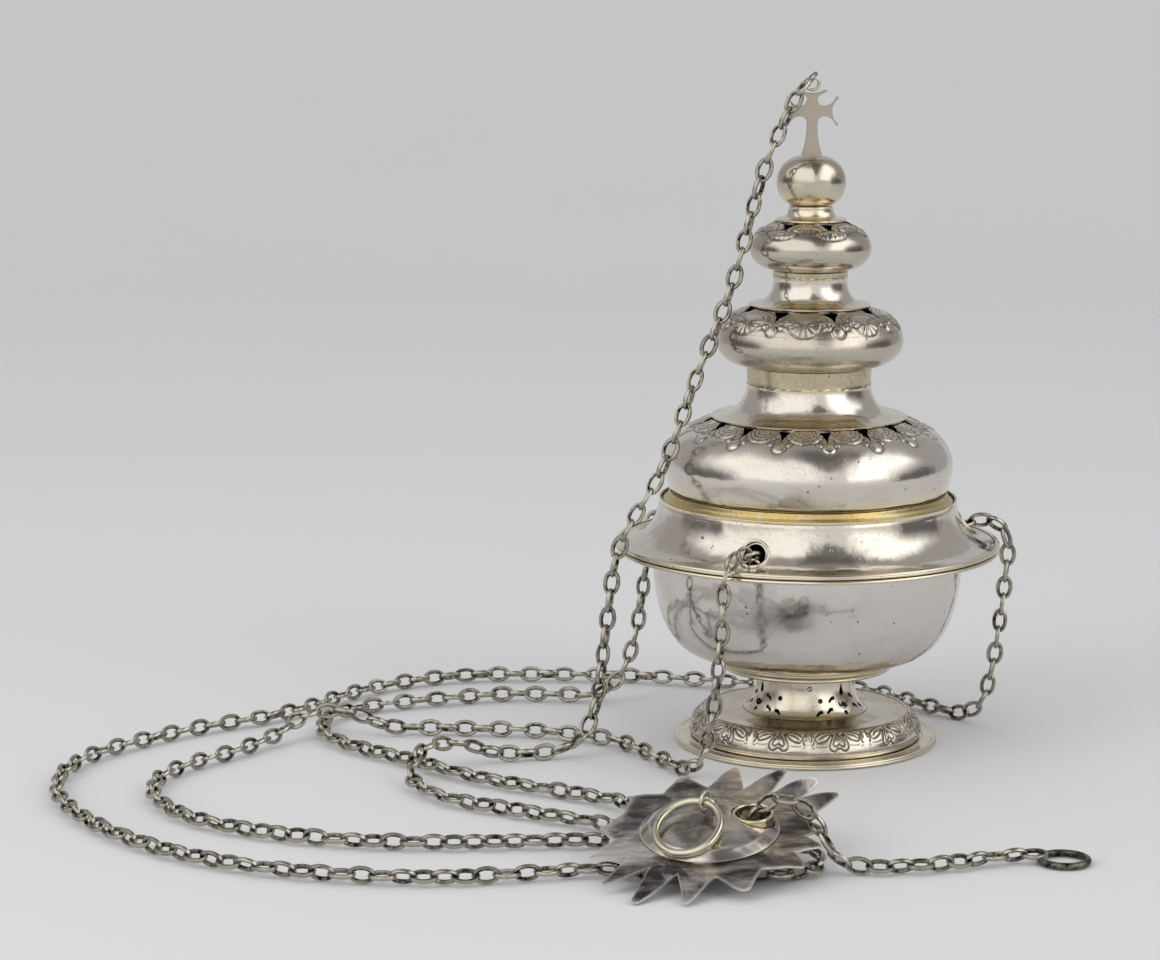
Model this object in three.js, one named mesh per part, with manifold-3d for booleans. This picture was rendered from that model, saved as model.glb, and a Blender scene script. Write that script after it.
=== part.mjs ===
// Silver thurible standing on a table, its four chains lying slack beside it.
// Millimetres, +Z up, the foot and the lowest ray tips at z = 0.

import * as THREE from 'three';
import { mergeVertices } from 'three/addons/utils/BufferGeometryUtils.js';
import Module from 'manifold-3d';

const wasm = await Module();
wasm.setup();

// Clearances and walls
const seat = 0.3;
const sheetWall = 1.2;
const castWall = 1.5;
const pressedWall = 1.0;

// Foot
const footRadius = 51.8;
const footFlangeReach = 5.9;
const footFlangeTuck = 2.4;
const flangeHeight = 2.3;
const flangeInnerHeight = 1.7;
const footBeadWidth = 1.6;
const bandBottomRadius = footRadius - footFlangeReach;
const footBoreRadius = bandBottomRadius - footFlangeTuck;
const bandSlope = 6.4;
const bandTopRadius = bandBottomRadius - bandSlope;
const bandHeight = 10.0;
const bandShoulder = 1.6;
const discInset = 0.75;
const discDip = 0.9;
const stemFootRadius = 24.3;
const stemWaistRadius = 19.3;
const stemTopRadius = 20.4;
const stemFlareHeight = 11.4;
const stemNeckHeight = 4.6;
const stemHoleRadius = 0.9;
const stemHoleCount = 6;
const palmetteCount = 4;
const palmetteTurn = 55;

// Bowl, its moulding, flange and coal pan
const mouldingRadius = 34.2;
const mouldingTopRadius = 39.6;
const mouldingHeight = 5.7;
const bowlRadius = 60.4;
const bowlBottomRadius = 39.0;
const bowlDepth = 43.2;
const bowlPower = 2.3;
const flangeWidth = 14.8;
const rimRadius = bowlRadius + flangeWidth;
const flangePlate = 1.5;
const rimRoll = 1.2;
const panClearance = 0.6;
const panDepth = 30.0;
const panCorner = 4.0;
const panLip = 1.0;

// Lid skirt and gilt bezel
const lidRimHeight = 1.9;
const lidRimWidth = 1.9;
const skirtInset = 2.2;
const skirtTopRadius = bowlRadius - skirtInset;
const skirtHeight = 16.8;
const skirtPower = 2.1;
const bezelProud = 0.4;
const bezelShow = 2.6;
const bezelTuck = 1.6;
const bezelLip = 2.4;
const bezelWall = 0.9;

// Chain holes in the skirt, turned from the front toward +X
const chainHoleTurns = { chain_front: -22.4, chain_right: 97.6, chain_left: 217.6 };
const chainHoleHalfWidth = 4.4;
const chainHoleHalfHeight = 4.9;
const chainHoleRise = 0.5;
const chainHoleBore = 16.0;
const holeRimWire = 0.55;
const holeRimReach = 1.2;
const holeRimPoints = 14;
const lugWire = 0.7;
const lugHalfWidth = 2.1;
const lugHeight = 4.4;
const lugTuck = 0.2;

// Stacked domes of the lid
const domeShoulder = 4.2;
const domeBaseRadius = skirtTopRadius - domeShoulder;
const domeSwell = 2.3;
const domeRadius = domeBaseRadius + domeSwell;
const domeLowerHeight = 10.2;
const domeUpperHeight = 18.1;
const lowerLedgeRadius = 38.2;
const lowerWaistRadius = 24.1;
const lowerNeckHeight = 20.1;
const secondRadius = 36.4;
const secondBaseRadius = 23.6;
const secondLowerHeight = 9.8;
const secondUpperHeight = 13.2;
const upperLedgeRadius = 23.7;
const upperWaistRadius = 14.3;
const upperNeckHeight = 13.6;
const thirdRadius = 23.6;
const thirdBaseRadius = 13.8;
const thirdLowerHeight = 8.8;
const thirdUpperHeight = 9.8;
const ballLedgeRadius = 13.8;
const ballLedgeHeight = 0.9;
const ballNeckRadius = 8.2;
const ballNeckHeight = 5.1;
const ballRadius = 13.4;
const ballHeight = 19.0;
const ledgeThickness = 0.9;
const neckPower = 2.3;

// Vents: count, turn in degrees, width, length outward
const domeVents = { count: 16, turn: 5.3, width: 5.2, length: 5.0 };
const secondVents = { count: 8, turn: 15.0, width: 6.4, length: 4.4 };
const thirdVents = { count: 6, turn: 21.0, width: 6.0, length: 3.0 };

// Finial cross and loop
const crossPlate = 2.4;
const crossArm = 10.0;
const crossHeight = 24.6;
const crossCentreHeight = 16.6;
const crossWaist = 2.1;
const crossFoot = 4.2;
const crossTongue = 1.6;
const forkDepth = 0.86;
const finialLoopRadius = 2.5;
const finialLoopWire = 0.6;

// Hand plate: a sun of rays round a raised boss, lying tilted on the chains
const plateX = -45.0;
const plateY = -180.0;
const plateRest = 13.2;
const plateSlopeX = 0.05;
const plateSlopeY = 0.2;
const plateWall = 1.0;
const rayRootRadius = 33.0;
const rayTipWidth = 2.0;

// Each ray: its turn from +X in degrees, its reach and its tip's bend upward as shares of the ray length
const rayLength = 50.0;
const rays = [
  [-2, 0.78, 0], [24, 1, 0.028], [40, 1.02, 0.016], [57, 1.06, 0], [76, 0.94, 0.012], [101, 0.86, 0],
  [133, 0.76, 0], [171, 0.76, 0], [201, 0.88, 0], [222, 1, -0.016], [239, 1.05, -0.03], [258, 0.96, -0.034],
  [284, 0.86, -0.016], [316, 0.84, 0], [338, 0.8, 0],
];
const bossRadius = 24.0;
const bossHeight = 6.5;
const bossPower = 2.6;
const eyeletOffset = 15.0;
const eyeletBoreRadius = 5.9;
const eyeletOuterRadius = 7.2;
const eyeletStand = 1.4;
const plateStapleRadius = 22.0;
const plateStapleTurns = { chain_front: 20, chain_left: 140, chain_right: 260 };
const stapleWire = 0.65;
const stapleHalfWidth = 2.2;
const stapleHeight = 4.2;

// Handle ring, its link, and the ring that ends the lift chain
const handleTurn = -125;
const handleRingRadius = 11.3;
const handleWire = 1.3;
const handleLie = 25.5;
const linkRadius = 3.3;
const linkWire = 0.6;
const handleStapleHeight = 4.9;
const liftRingRadius = 8.2;
const liftRingWire = 1.25;
const liftRingCentre = new THREE.Vector3(77, -175, 1.4);

// Chain tubes as wide as the links, with the routes that they lie in
const chainWidth = 6.5;
const chainSides = 8;
const stepsPerSpan = 2;
const restZ = 3.45;
const crossZ = 10.3;

const liftChainRoute = [
  [-0.8, -1.4, 259.6], [-1.8, -4.4, 259.2], [-4.6, -7.6, 256.4], [-8, -9.2, 251],
  [-18.6, -11, 226.5], [-31.5, -13.4, 180], [-45, -19.4, 146], [-57.4, -26, 113],
  [-74.2, -29.6, 82], [-79, -30.6, 52], [-84, -31.6, 18], [-90.4, -32.8, 7], [-101, -34.6, restZ],
  [-122, -40.4, 4.6], [-134, -44, 8.8], [-144.6, -51.6, crossZ], [-150.6, -63, 9], [-152, -77, 4.4],
  [-138, -101, restZ], [-111, -119, restZ], [-80, -137, restZ], [-56, -157, restZ],
  [-46, -166.8, restZ], [-38.9, -173.4, restZ], [-34.6, -177, 5], [-31.5, -179.7, 9],
  [-30.3, -180.8, 13.5], [-29.9, -181.3, 17], [-28.3, -181.9, 20.6], [-25, -183.2, 24.1],
  [-19.9, -185.1, 25.6], [-14.9, -187, 24.1], [-10.6, -188, 20], [-7.2, -188.5, 14.4],
  [-4, -188.8, 8.95], [0, -189.1, 4.9], [6, -189.4, restZ], [31.5, -186.8, restZ],
  [48, -180.4, restZ], [57.5, -176.6, restZ], [66.8, -175.4, restZ],
];
const frontChainRoute = [
  [-24.3, -58.3, 84.6], [-25.7, -60.8, 85.9], [-28, -63.8, 86.3], [-32, -68.4, 85],
  [-34.8, -71.7, 81.2], [-35.9, -72.9, 75.4], [-36.4, -73.6, 62], [-38, -73, 42], [-40.4, -70.6, 22], [-43.4, -67.2, 9.6],
  [-49, -60.6, restZ], [-56, -49, restZ], [-66.6, -29.6, restZ], [-76, -15.6, restZ],
  [-90, -8, restZ], [-108, -1, restZ], [-131, 1.6, restZ], [-152, 3.4, restZ], [-166, 2.4, 4.4],
  [-178, 2, 9.2], [-189.6, 2.6, crossZ], [-199.6, -3, 8.8], [-208.6, -14, 4.8], [-222, -33, restZ],
  [-236, -51, restZ], [-245.6, -70, restZ], [-247, -90, restZ], [-241, -109, restZ],
  [-229, -127, restZ], [-211, -141, restZ], [-186, -152.6, restZ], [-160, -159, restZ],
  [-132, -160, restZ], [-105, -158.4, restZ], [-82, -158, restZ], [-66, -168, restZ],
  [-54, -182, restZ], [-43, -192.6, restZ], [-30, -198.4, restZ], [-17, -197, restZ],
  [-8.6, -189, restZ], [-8.4, -178, 4.6], [-14.4, -172.4, 7], [-19.4, -171.8, 8.6],
];
const leftChainRoute = [
  [-38.6, 50.1, 84.6], [-40.4, 52, 85.9], [-44, 54.6, 86.5], [-50.6, 57.2, 85.6],
  [-56.4, 58, 82.2], [-59.8, 56.6, 76.6], [-61, 55.8, 66], [-63.6, 59, 46], [-67, 58.6, 26], [-74, 58.6, 10],
  [-83.6, 59, 3.7], [-96, 59.6, restZ], [-119, 60.6, restZ], [-140, 54.6, restZ],
  [-161, 47, restZ], [-177, 38.4, restZ], [-188.4, 26, restZ], [-192, 11, restZ],
  [-189.6, -6, restZ], [-181, -21, restZ], [-168, -34.6, restZ], [-153.6, -46.6, restZ],
  [-140, -61, restZ], [-124.6, -74.6, restZ], [-105, -87.4, restZ], [-86, -98.6, restZ],
  [-74.6, -109, 4.2], [-70, -122, 6.4], [-69, -136, 9.8], [-69, -148, 10.8],
  [-68.6, -156, 10.8], [-65.4, -162.6, 10.6],
];
const rightChainRoute = [
  [62.6, 8.4, 84.6], [65.4, 8.7, 85.9], [69.1, 9.2, 86.3], [75.2, 10, 84.9], [79, 10.6, 81],
  [80.4, 11, 75.4], [79.8, 13.2, 60], [78.2, 15.8, 42], [75.8, 19, 22], [72.2, 23, 8.8], [66, 28.4, restZ],
  [55.6, 37.6, restZ], [44, 53, restZ], [31, 68, restZ], [8, 78, restZ], [-21.7, 81.8, restZ],
  [-59.4, 92.6, restZ], [-106.7, 96.6, restZ], [-140, 94, restZ], [-167, 80, restZ],
  [-186, 60, restZ], [-200, 38, restZ], [-216, 21, restZ], [-239, 4.6, restZ],
  [-259, -15, restZ], [-276, -38, restZ], [-284, -66, restZ], [-281, -96, restZ],
  [-269, -124, restZ], [-252, -149, restZ], [-229, -171.6, restZ], [-202, -188, restZ],
  [-168, -199, restZ], [-132, -202, restZ], [-99, -195.6, restZ], [-82, -192.6, restZ],
  [-66, -197.4, restZ], [-52.6, -201, restZ],
];

const degrees = THREE.MathUtils.degToRad;

// Metals as they look in daylight
const metal = (color, roughness) => new THREE.MeshStandardMaterial({ color, roughness, metalness: 1 });
const silver = () => metal(0xc4bdb4, 0.28);
const castSilver = () => metal(0xb8b0a2, 0.36);
const giltSilver = () => metal(0xc9a24e, 0.3);
const tarnishedSilver = () => metal(0x8f897c, 0.42);
const ringSilver = () => metal(0xb9ae8c, 0.3);
const panIron = () => metal(0x4f4a45, 0.6);

// Geometry to closed solid and back
function closed(geometry) {
  geometry.deleteAttribute('normal');
  geometry.deleteAttribute('uv');
  const welded = mergeVertices(geometry, 1e-4);
  const index = Array.from(welded.index.array);
  const position = welded.attributes.position;
  const corners = [new THREE.Vector3(), new THREE.Vector3(), new THREE.Vector3()];
  const kept = [];
  let volume = 0;
  for (let i = 0; i < index.length; i += 3) {
    const face = index.slice(i, i + 3);
    if (new Set(face).size < 3) continue;
    corners.forEach((corner, k) => corner.fromBufferAttribute(position, face[k]));
    volume += corners[0].dot(corners[1].clone().cross(corners[2]));
    kept.push(face);
  }
  welded.setIndex(kept.flatMap((face) => (volume < 0 ? [face[0], face[2], face[1]] : face)));
  return welded;
}

function toSolid(geometry) {
  const mesh = closed(geometry);
  return new wasm.Manifold(new wasm.Mesh({
    numProp: 3,
    vertProperties: new Float32Array(mesh.attributes.position.array),
    triVerts: new Uint32Array(mesh.index.array),
  }));
}

function toGeometry(solid) {
  const mesh = solid.getMesh();
  const geometry = new THREE.BufferGeometry();
  geometry.setAttribute('position', new THREE.Float32BufferAttribute(mesh.vertProperties, 3));
  geometry.setIndex(Array.from(mesh.triVerts));
  return geometry;
}

function carve(geometry, cutters) {
  const cut = cutters.map(toSolid).reduce((left, cutter) => left.subtract(cutter), toSolid(geometry));
  return toGeometry(cut);
}

function fuse(geometries) {
  return toGeometry(geometries.map(toSolid).reduce((sum, piece) => sum.add(piece)));
}

// Profiles of [radius, height] points
function quarter([r0, z0], [r1, z1], power, steps, leave) {
  return Array.from({ length: steps + 1 }, (_, i) => {
    const angle = (i / steps) * (Math.PI / 2);
    const fast = Math.sin(angle) ** (2 / power);
    const slow = 1 - Math.cos(angle) ** (2 / power);
    const [across, up] = leave === 'flat' ? [fast, slow] : [slow, fast];
    return [r0 + (r1 - r0) * across, z0 + (z1 - z0) * up];
  });
}

function joined(...stretches) {
  const all = stretches.flat();
  return all.filter(([r, z], i) => i === 0 || Math.hypot(r - all[i - 1][0], z - all[i - 1][1]) > 1e-3);
}

function inset(profile, wall) {
  return profile.map(([r, z], i) => {
    const before = profile[Math.max(i - 1, 0)];
    const after = profile[Math.min(i + 1, profile.length - 1)];
    const along = new THREE.Vector2(after[0] - before[0], after[1] - before[1]).normalize();
    return [r - along.y * wall, z + along.x * wall];
  });
}

function turned(profile, segments) {
  const loop = [...profile, profile[0]].map(([r, z]) => new THREE.Vector2(r, z));
  return new THREE.LatheGeometry(loop, segments).rotateX(Math.PI / 2);
}

const turnedShell = (outer, wall, segments) => turned([...outer, ...inset(outer, wall).reverse()], segments);

// Wires, loops and tubes
function section(radius, sides) {
  return new THREE.Shape(Array.from({ length: sides }, (_, i) => {
    const angle = ((i + 0.5) / sides) * 2 * Math.PI;
    return new THREE.Vector2(radius * Math.cos(angle), radius * Math.sin(angle));
  }));
}

// A tube through the points, with the same number of steps in every span between them
function wire(points, radius, sides, spanSteps) {
  const path = new THREE.CatmullRomCurve3(points, false, 'centripetal');
  path.getPointAt = (t, target) => path.getPoint(t, target);
  path.getTangentAt = (t, target) => path.getTangent(t, target);
  const steps = (points.length - 1) * spanSteps;
  return new THREE.ExtrudeGeometry(section(radius, sides), { steps, extrudePath: path });
}

// An arch of wire on its two legs, standing in the XZ plane with its feet at z = 0
function stapleGeometry(halfWidth, height, radius) {
  const spring = height - halfWidth;
  const bend = Array.from({ length: 7 }, (_, i) => {
    const angle = Math.PI * (1 - i / 6);
    return new THREE.Vector3(halfWidth * Math.cos(angle), 0, spring + halfWidth * Math.sin(angle));
  });
  const legs = [new THREE.Vector3(-halfWidth, 0, 0), new THREE.Vector3(halfWidth, 0, 0)];
  return wire([legs[0], ...bend, legs[1]], radius, 5, 1);
}

// A point on a level circle: the turn runs from the front (-Y) toward +X
function polar(radius, turn, z) {
  return new THREE.Vector3(radius * Math.sin(degrees(turn)), -radius * Math.cos(degrees(turn)), z);
}

// Triangular openings just outside a ledge, their points outward
function ventCutters({ count, turn, width, length }, ledgeRadius, bottom, top) {
  const start = ledgeRadius + 0.5;
  const outline = [[-width / 2, -start], [width / 2, -start], [0, -start - length]];
  return Array.from({ length: count }, (_, i) => {
    const shape = new THREE.Shape(outline.map(([x, y]) => new THREE.Vector2(x, y)));
    const prism = new THREE.ExtrudeGeometry(shape, { depth: top - bottom, bevelEnabled: false });
    return prism.rotateZ(degrees(turn + (i * 360) / count)).translate(0, 0, bottom);
  });
}

const rod = (radius, length, sides) => new THREE.CylinderGeometry(radius, radius, length, sides);

// Heights of the stack, from the table upward
const bandBottom = flangeHeight + seat;
const bandTop = bandBottom + bandHeight;
const stemBottom = bandTop + seat;
const stemWaist = stemBottom + stemFlareHeight;
const stemTop = stemWaist + stemNeckHeight;
const mouldingBottom = stemTop + seat;
const mouldingTop = mouldingBottom + mouldingHeight;
const bowlBottom = mouldingTop + seat;
const rimTop = bowlBottom + bowlDepth;
const lidBottom = rimTop + seat;
const skirtBottom = lidBottom + lidRimHeight;
const skirtTop = skirtBottom + skirtHeight;
const domeBottom = skirtTop + bezelShow + seat;
const domeMiddle = domeBottom + domeLowerHeight;
const domeTop = domeMiddle + domeUpperHeight;
const lowerNeckBottom = domeTop + seat;
const secondBottom = lowerNeckBottom + lowerNeckHeight + seat;
const secondMiddle = secondBottom + secondLowerHeight;
const secondTop = secondMiddle + secondUpperHeight;
const upperNeckBottom = secondTop + seat;
const thirdBottom = upperNeckBottom + upperNeckHeight + seat;
const thirdMiddle = thirdBottom + thirdLowerHeight;
const thirdTop = thirdMiddle + thirdUpperHeight;
const ballNeckBottom = thirdTop + seat;
const ballBottom = ballNeckBottom + ballLedgeHeight + ballNeckHeight + seat;
const ballTop = ballBottom + ballHeight;
const crossBottom = ballTop + seat;
const crossTop = crossBottom + crossHeight;

const wideSides = 28;
const middleSides = 24;
const narrowSides = 20;

// The foot
function footFlange() {
  const edge = footRadius - footBeadWidth;
  return turned([
    [footBoreRadius, 0], [footRadius - 0.5, 0], [footRadius, flangeHeight * 0.45],
    [footRadius - 0.5, flangeHeight], [edge, flangeHeight], [edge - 0.5, flangeInnerHeight],
    [footBoreRadius, flangeInnerHeight],
  ], wideSides);
}

function footBand() {
  const shoulder = [bandBottomRadius, bandBottom + bandShoulder];
  const rise = quarter(shoulder, [bandTopRadius, bandTop], 1.8, 4, 'upright');
  const outer = joined([[bandBottomRadius - 0.7, bandBottom]], rise);
  return turnedShell(outer, sheetWall, wideSides);
}

function footDisc() {
  const edge = bandTopRadius - discInset;
  const inner = stemFootRadius - 3;
  const middle = (edge + stemFootRadius) / 2;
  return turned([
    [edge, bandTop - 0.4], [middle, bandTop - discDip], [stemFootRadius, bandTop],
    [inner, bandTop], [inner, bandTop - castWall], [middle, bandTop - discDip - castWall],
    [edge, bandTop - 0.4 - castWall],
  ], wideSides);
}

function stem() {
  const spread = [stemFootRadius, stemBottom + ledgeThickness];
  const flare = quarter(spread, [stemWaistRadius, stemWaist], 1.6, 4, 'flat');
  const rise = quarter([stemWaistRadius, stemWaist], [stemTopRadius, stemTop], 2, 2, 'upright');
  const outer = joined(flare, rise);
  const inner = inset(outer, castWall).filter(([, z]) => z > stemBottom + seat && z < stemTop - seat);
  inner.push([stemTopRadius - castWall, stemTop]);
  const sole = [[stemFootRadius - castWall * 2, stemBottom], [stemFootRadius, stemBottom]];
  const spool = turned([...sole, ...outer, ...inner.reverse()], middleSides);
  const radial = (radius, turn, z) => rod(radius, stemFootRadius * 1.4, 6)
    .translate(0, -stemFootRadius * 0.7 - stemWaistRadius / 2, 0).rotateZ(degrees(turn)).translate(0, 0, z);
  const holes = Array.from({ length: stemHoleCount }, (_, i) => {
    const height = stemBottom + stemFlareHeight * (i % 2 ? 0.55 : 0.9);
    return radial(stemHoleRadius, -50 + (i * 360) / stemHoleCount, height);
  });
  const leaves = Array.from({ length: palmetteCount }, (_, i) => {
    const turn = palmetteTurn + (i * 360) / palmetteCount;
    return radial(stemHoleRadius * 1.5, turn, stemBottom + stemFlareHeight * 0.42);
  });
  return carve(spool, [...holes, ...leaves]);
}

// The bowl and what closes its mouth
function bowlMoulding() {
  const sole = stemTopRadius - castWall;
  const face = quarter([mouldingRadius, mouldingBottom + 1.4], [mouldingTopRadius, mouldingTop], 2, 3, 'upright');
  return turned([
    [sole, mouldingBottom], [mouldingRadius - 0.8, mouldingBottom + 0.4], ...face,
    [mouldingTopRadius - 3, mouldingTop], [sole, mouldingTop - 1.2],
  ], middleSides);
}

function bowlSide() {
  return quarter([bowlBottomRadius, bowlBottom], [bowlRadius, rimTop - 3], bowlPower, 6, 'flat');
}

function bowl() {
  const side = bowlSide();
  const outer = joined([[0, bowlBottom]], side, [[bowlRadius, rimTop]]);
  const inner = joined(inset(side, sheetWall), [[bowlRadius - sheetWall, rimTop]]);
  return turned([...outer, ...inner.reverse(), [0, bowlBottom + sheetWall]], wideSides);
}

function bowlFlange() {
  const inner = bowlRadius + seat;
  return turned([
    [inner, rimTop - flangePlate], [rimRadius - rimRoll, rimTop - flangePlate],
    [rimRadius - 0.2, rimTop - flangePlate], [rimRadius, rimTop - flangePlate / 2],
    [rimRadius - 0.3, rimTop], [inner, rimTop],
  ], wideSides);
}

// The pan hangs by its lip and follows the bowl's wall down to a flat floor
function coalPan() {
  const lip = rimTop + seat;
  const floor = lip - panDepth;
  const wall = inset(bowlSide(), sheetWall + panClearance).filter(([, z]) => z > floor + panCorner);
  const outer = [[0, floor], [wall[0][0] - panCorner * 1.6, floor], ...wall, [wall.at(-1)[0], lip]];
  const inner = inset(outer.slice(1), pressedWall);
  inner[inner.length - 1][1] = lip + pressedWall;
  const edge = bowlRadius - sheetWall + panLip;
  return turned([
    ...outer, [edge, lip], [edge, lip + pressedWall], ...inner.reverse(), [0, floor + pressedWall],
  ], wideSides);
}

// The skirt of the lid, its rolled edge, its chain holes and their raised rims
const skirtProfile = (steps) => quarter(
  [rimRadius - lidRimWidth - seat, skirtBottom - 0.4],
  [skirtTopRadius, skirtTop],
  skirtPower,
  steps,
  'flat',
);

// Where the chain holes sit on the skirt's outer face, in the plane of radius and height
function holeSite() {
  const fine = skirtProfile(60);
  const aim = (skirtBottom + skirtTop) / 2 - 5 + chainHoleRise;
  const at = fine.findIndex(([, z]) => z >= aim);
  const [before, point, after] = [fine[at - 4], fine[at], fine[at + 4]];
  const along = new THREE.Vector2(after[0] - before[0], after[1] - before[1]).normalize();
  return { fine, at, point, along };
}

function lidRim() {
  const inner = rimRadius - lidRimWidth;
  return turned([
    [inner, lidBottom], [rimRadius - 0.3, lidBottom], [rimRadius, lidBottom + lidRimHeight / 2],
    [rimRadius - 0.4, lidBottom + lidRimHeight], [inner, lidBottom + lidRimHeight],
  ], wideSides);
}

function lidSkirt() {
  const top = [skirtTopRadius, skirtTop];
  const outer = joined(skirtProfile(6), [top]);
  const skirt = turnedShell(outer, pressedWall, wideSides);
  const { point, along } = holeSite();
  const tilt = Math.atan2(along.x, along.y);
  const cutters = Object.values(chainHoleTurns).map((turn) => {
    const bore = rod(1, chainHoleBore, 12).scale(chainHoleHalfWidth, 1, chainHoleHalfHeight);
    bore.rotateX(tilt);
    return bore.translate(0, -point[0], point[1]).rotateZ(degrees(turn));
  });
  return carve(skirt, cutters);
}

// A loop of wire that follows the skirt's face round a hole
function holeRim(turn) {
  const { fine, at } = holeSite();
  const points = Array.from({ length: holeRimPoints }, (_, i) => {
    const angle = (i / holeRimPoints) * 2 * Math.PI;
    const climb = (chainHoleHalfHeight + holeRimReach) * Math.sin(angle);
    const step = Math.sign(climb) || 1;
    let index = at;
    let gone = 0;
    while (gone < Math.abs(climb) && index > 2 && index < fine.length - 3) {
      gone += Math.hypot(fine[index + step][0] - fine[index][0], fine[index + step][1] - fine[index][1]);
      index += step;
    }
    const [r, z] = fine[index];
    const along = new THREE.Vector2(fine[index + 2][0] - fine[index - 2][0], fine[index + 2][1] - fine[index - 2][1]);
    along.normalize();
    const off = holeRimWire + seat;
    const sideways = ((chainHoleHalfWidth + holeRimReach) * Math.cos(angle)) / r;
    return polar(r + along.y * off, turn + THREE.MathUtils.radToDeg(sideways), z - along.x * off);
  });
  const path = new THREE.CatmullRomCurve3(points, true);
  return new THREE.TubeGeometry(path, 16, holeRimWire, 5, true);
}

// The gilt ring is tucked into the skirt's mouth, and its lip centres the dome
function lidBezel() {
  const bottom = skirtTop - bezelTuck;
  const top = skirtTop + bezelShow;
  const lip = domeBaseRadius - sheetWall - seat;
  const proud = domeBaseRadius + bezelProud;
  const seatRadius = skirtTopRadius - pressedWall - seat;
  return turned([
    [lip - bezelWall, bottom], [seatRadius, bottom], [seatRadius, bottom + bezelWall],
    [proud, bottom + bezelWall], [proud, top], [lip, top],
    [lip, top + bezelLip], [lip - bezelWall, top + bezelLip],
  ], wideSides);
}

// Stacked domes and the necks between them
function pierced(profile, segments, vents, ledgeRadius, middle, top) {
  const shell = turnedShell(profile, sheetWall, segments);
  return carve(shell, ventCutters(vents, ledgeRadius, middle, top + 4));
}

function largeDome() {
  const low = quarter([domeBaseRadius, domeBottom], [domeRadius, domeMiddle], 1.3, 3, 'flat');
  const high = quarter([domeRadius, domeMiddle], [lowerLedgeRadius - 6, domeTop], 2, 6, 'upright');
  return pierced(joined(low, high), wideSides, domeVents, lowerLedgeRadius, domeMiddle, domeTop);
}

function neck(ledgeRadius, waistRadius, bottom, height, segments) {
  const flare = quarter(
    [ledgeRadius - 0.4, bottom + ledgeThickness],
    [waistRadius, bottom + height * 0.75],
    neckPower,
    5,
    'flat',
  );
  const outer = joined(flare, [[waistRadius + 0.3, bottom + height]]);
  const inner = joined(
    inset(flare, sheetWall).filter(([, z]) => z > bottom + ledgeThickness + 0.4),
    [[waistRadius + 0.3 - sheetWall, bottom + height]],
  );
  const ledge = [[ledgeRadius - 3, bottom], [ledgeRadius, bottom]];
  return turned([...ledge, ...outer, ...inner.reverse()], segments);
}

function bulb(base, radius, closing, [bottom, middle, top], steps) {
  const low = quarter([base, bottom], [radius, middle], 2, steps, 'flat');
  const high = quarter([radius, middle], [closing, top], 2, steps + 1, 'upright');
  return joined(low, high);
}

function ballNeck() {
  const ledgeTop = ballNeckBottom + ballLedgeHeight;
  const waist = quarter([ballLedgeRadius - 2, ledgeTop + 0.4], [ballNeckRadius, ledgeTop + ballNeckHeight - 1], 1.6, 4, 'flat');
  return turned([
    [4, ballNeckBottom], [ballLedgeRadius, ballNeckBottom], [ballLedgeRadius, ledgeTop], ...waist,
    [ballNeckRadius + 0.6, ledgeTop + ballNeckHeight - 0.5], [ballNeckRadius, ledgeTop + ballNeckHeight],
    [4, ledgeTop + ballNeckHeight],
  ], narrowSides);
}

function finialBall() {
  const middle = ballBottom + ballHeight * 0.48;
  const low = quarter([ballNeckRadius - 1, ballBottom], [ballRadius, middle], 2, 4, 'flat');
  const high = quarter([ballRadius, middle], [3, ballTop], 2, 5, 'upright');
  const profile = joined([[0, ballBottom]], low, high, [[0, ballTop]]);
  return turned(profile, narrowSides);
}

// A flat cross whose three free ends are forked into crescents
function finialCross() {
  const centre = crossBottom + crossCentreHeight;
  const arm = (turn, length) => {
    const shape = new THREE.Shape();
    shape.moveTo(-crossWaist, 0);
    shape.lineTo(-crossWaist * 0.85, length * 0.42);
    shape.quadraticCurveTo(-crossWaist, length * 0.72, -crossArm * 0.5, length);
    shape.quadraticCurveTo(-crossWaist * 0.9, length * 0.98, 0, length * forkDepth);
    shape.quadraticCurveTo(crossWaist * 0.9, length * 0.98, crossArm * 0.5, length);
    shape.quadraticCurveTo(crossWaist, length * 0.72, crossWaist * 0.85, length * 0.42);
    shape.lineTo(crossWaist, 0);
    const plate = new THREE.ExtrudeGeometry(shape, { depth: crossPlate, bevelEnabled: false, curveSegments: 3 });
    return plate.translate(0, 0, -crossPlate / 2).rotateX(Math.PI / 2).rotateY(degrees(turn)).translate(0, 0, centre);
  };
  const foot = new THREE.Shape();
  foot.moveTo(-crossFoot, crossBottom);
  foot.quadraticCurveTo(-crossWaist, crossBottom + crossTongue * 2.4, -crossWaist * 0.85, centre - crossWaist);
  foot.lineTo(0, centre);
  foot.lineTo(crossWaist * 0.85, centre - crossWaist);
  foot.quadraticCurveTo(crossWaist, crossBottom + crossTongue * 2.4, crossFoot, crossBottom);
  const post = new THREE.ExtrudeGeometry(foot, { depth: crossPlate, bevelEnabled: false, curveSegments: 4 });
  post.translate(0, 0, -crossPlate / 2).rotateX(Math.PI / 2);
  const boss = new THREE.BoxGeometry(crossWaist * 2, crossPlate, crossWaist * 2).translate(0, 0, centre);
  return fuse([post, boss, arm(0, crossTop - centre), arm(90, crossArm), arm(-90, crossArm)]);
}

function finialLoop() {
  const loop = new THREE.TorusGeometry(finialLoopRadius, finialLoopWire, 5, 14);
  const fork = crossTop - (crossHeight - crossCentreHeight) * (1 - forkDepth);
  return loop.rotateX(Math.PI / 2).translate(0, 0, fork + finialLoopRadius + finialLoopWire + seat * 2);
}

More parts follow.
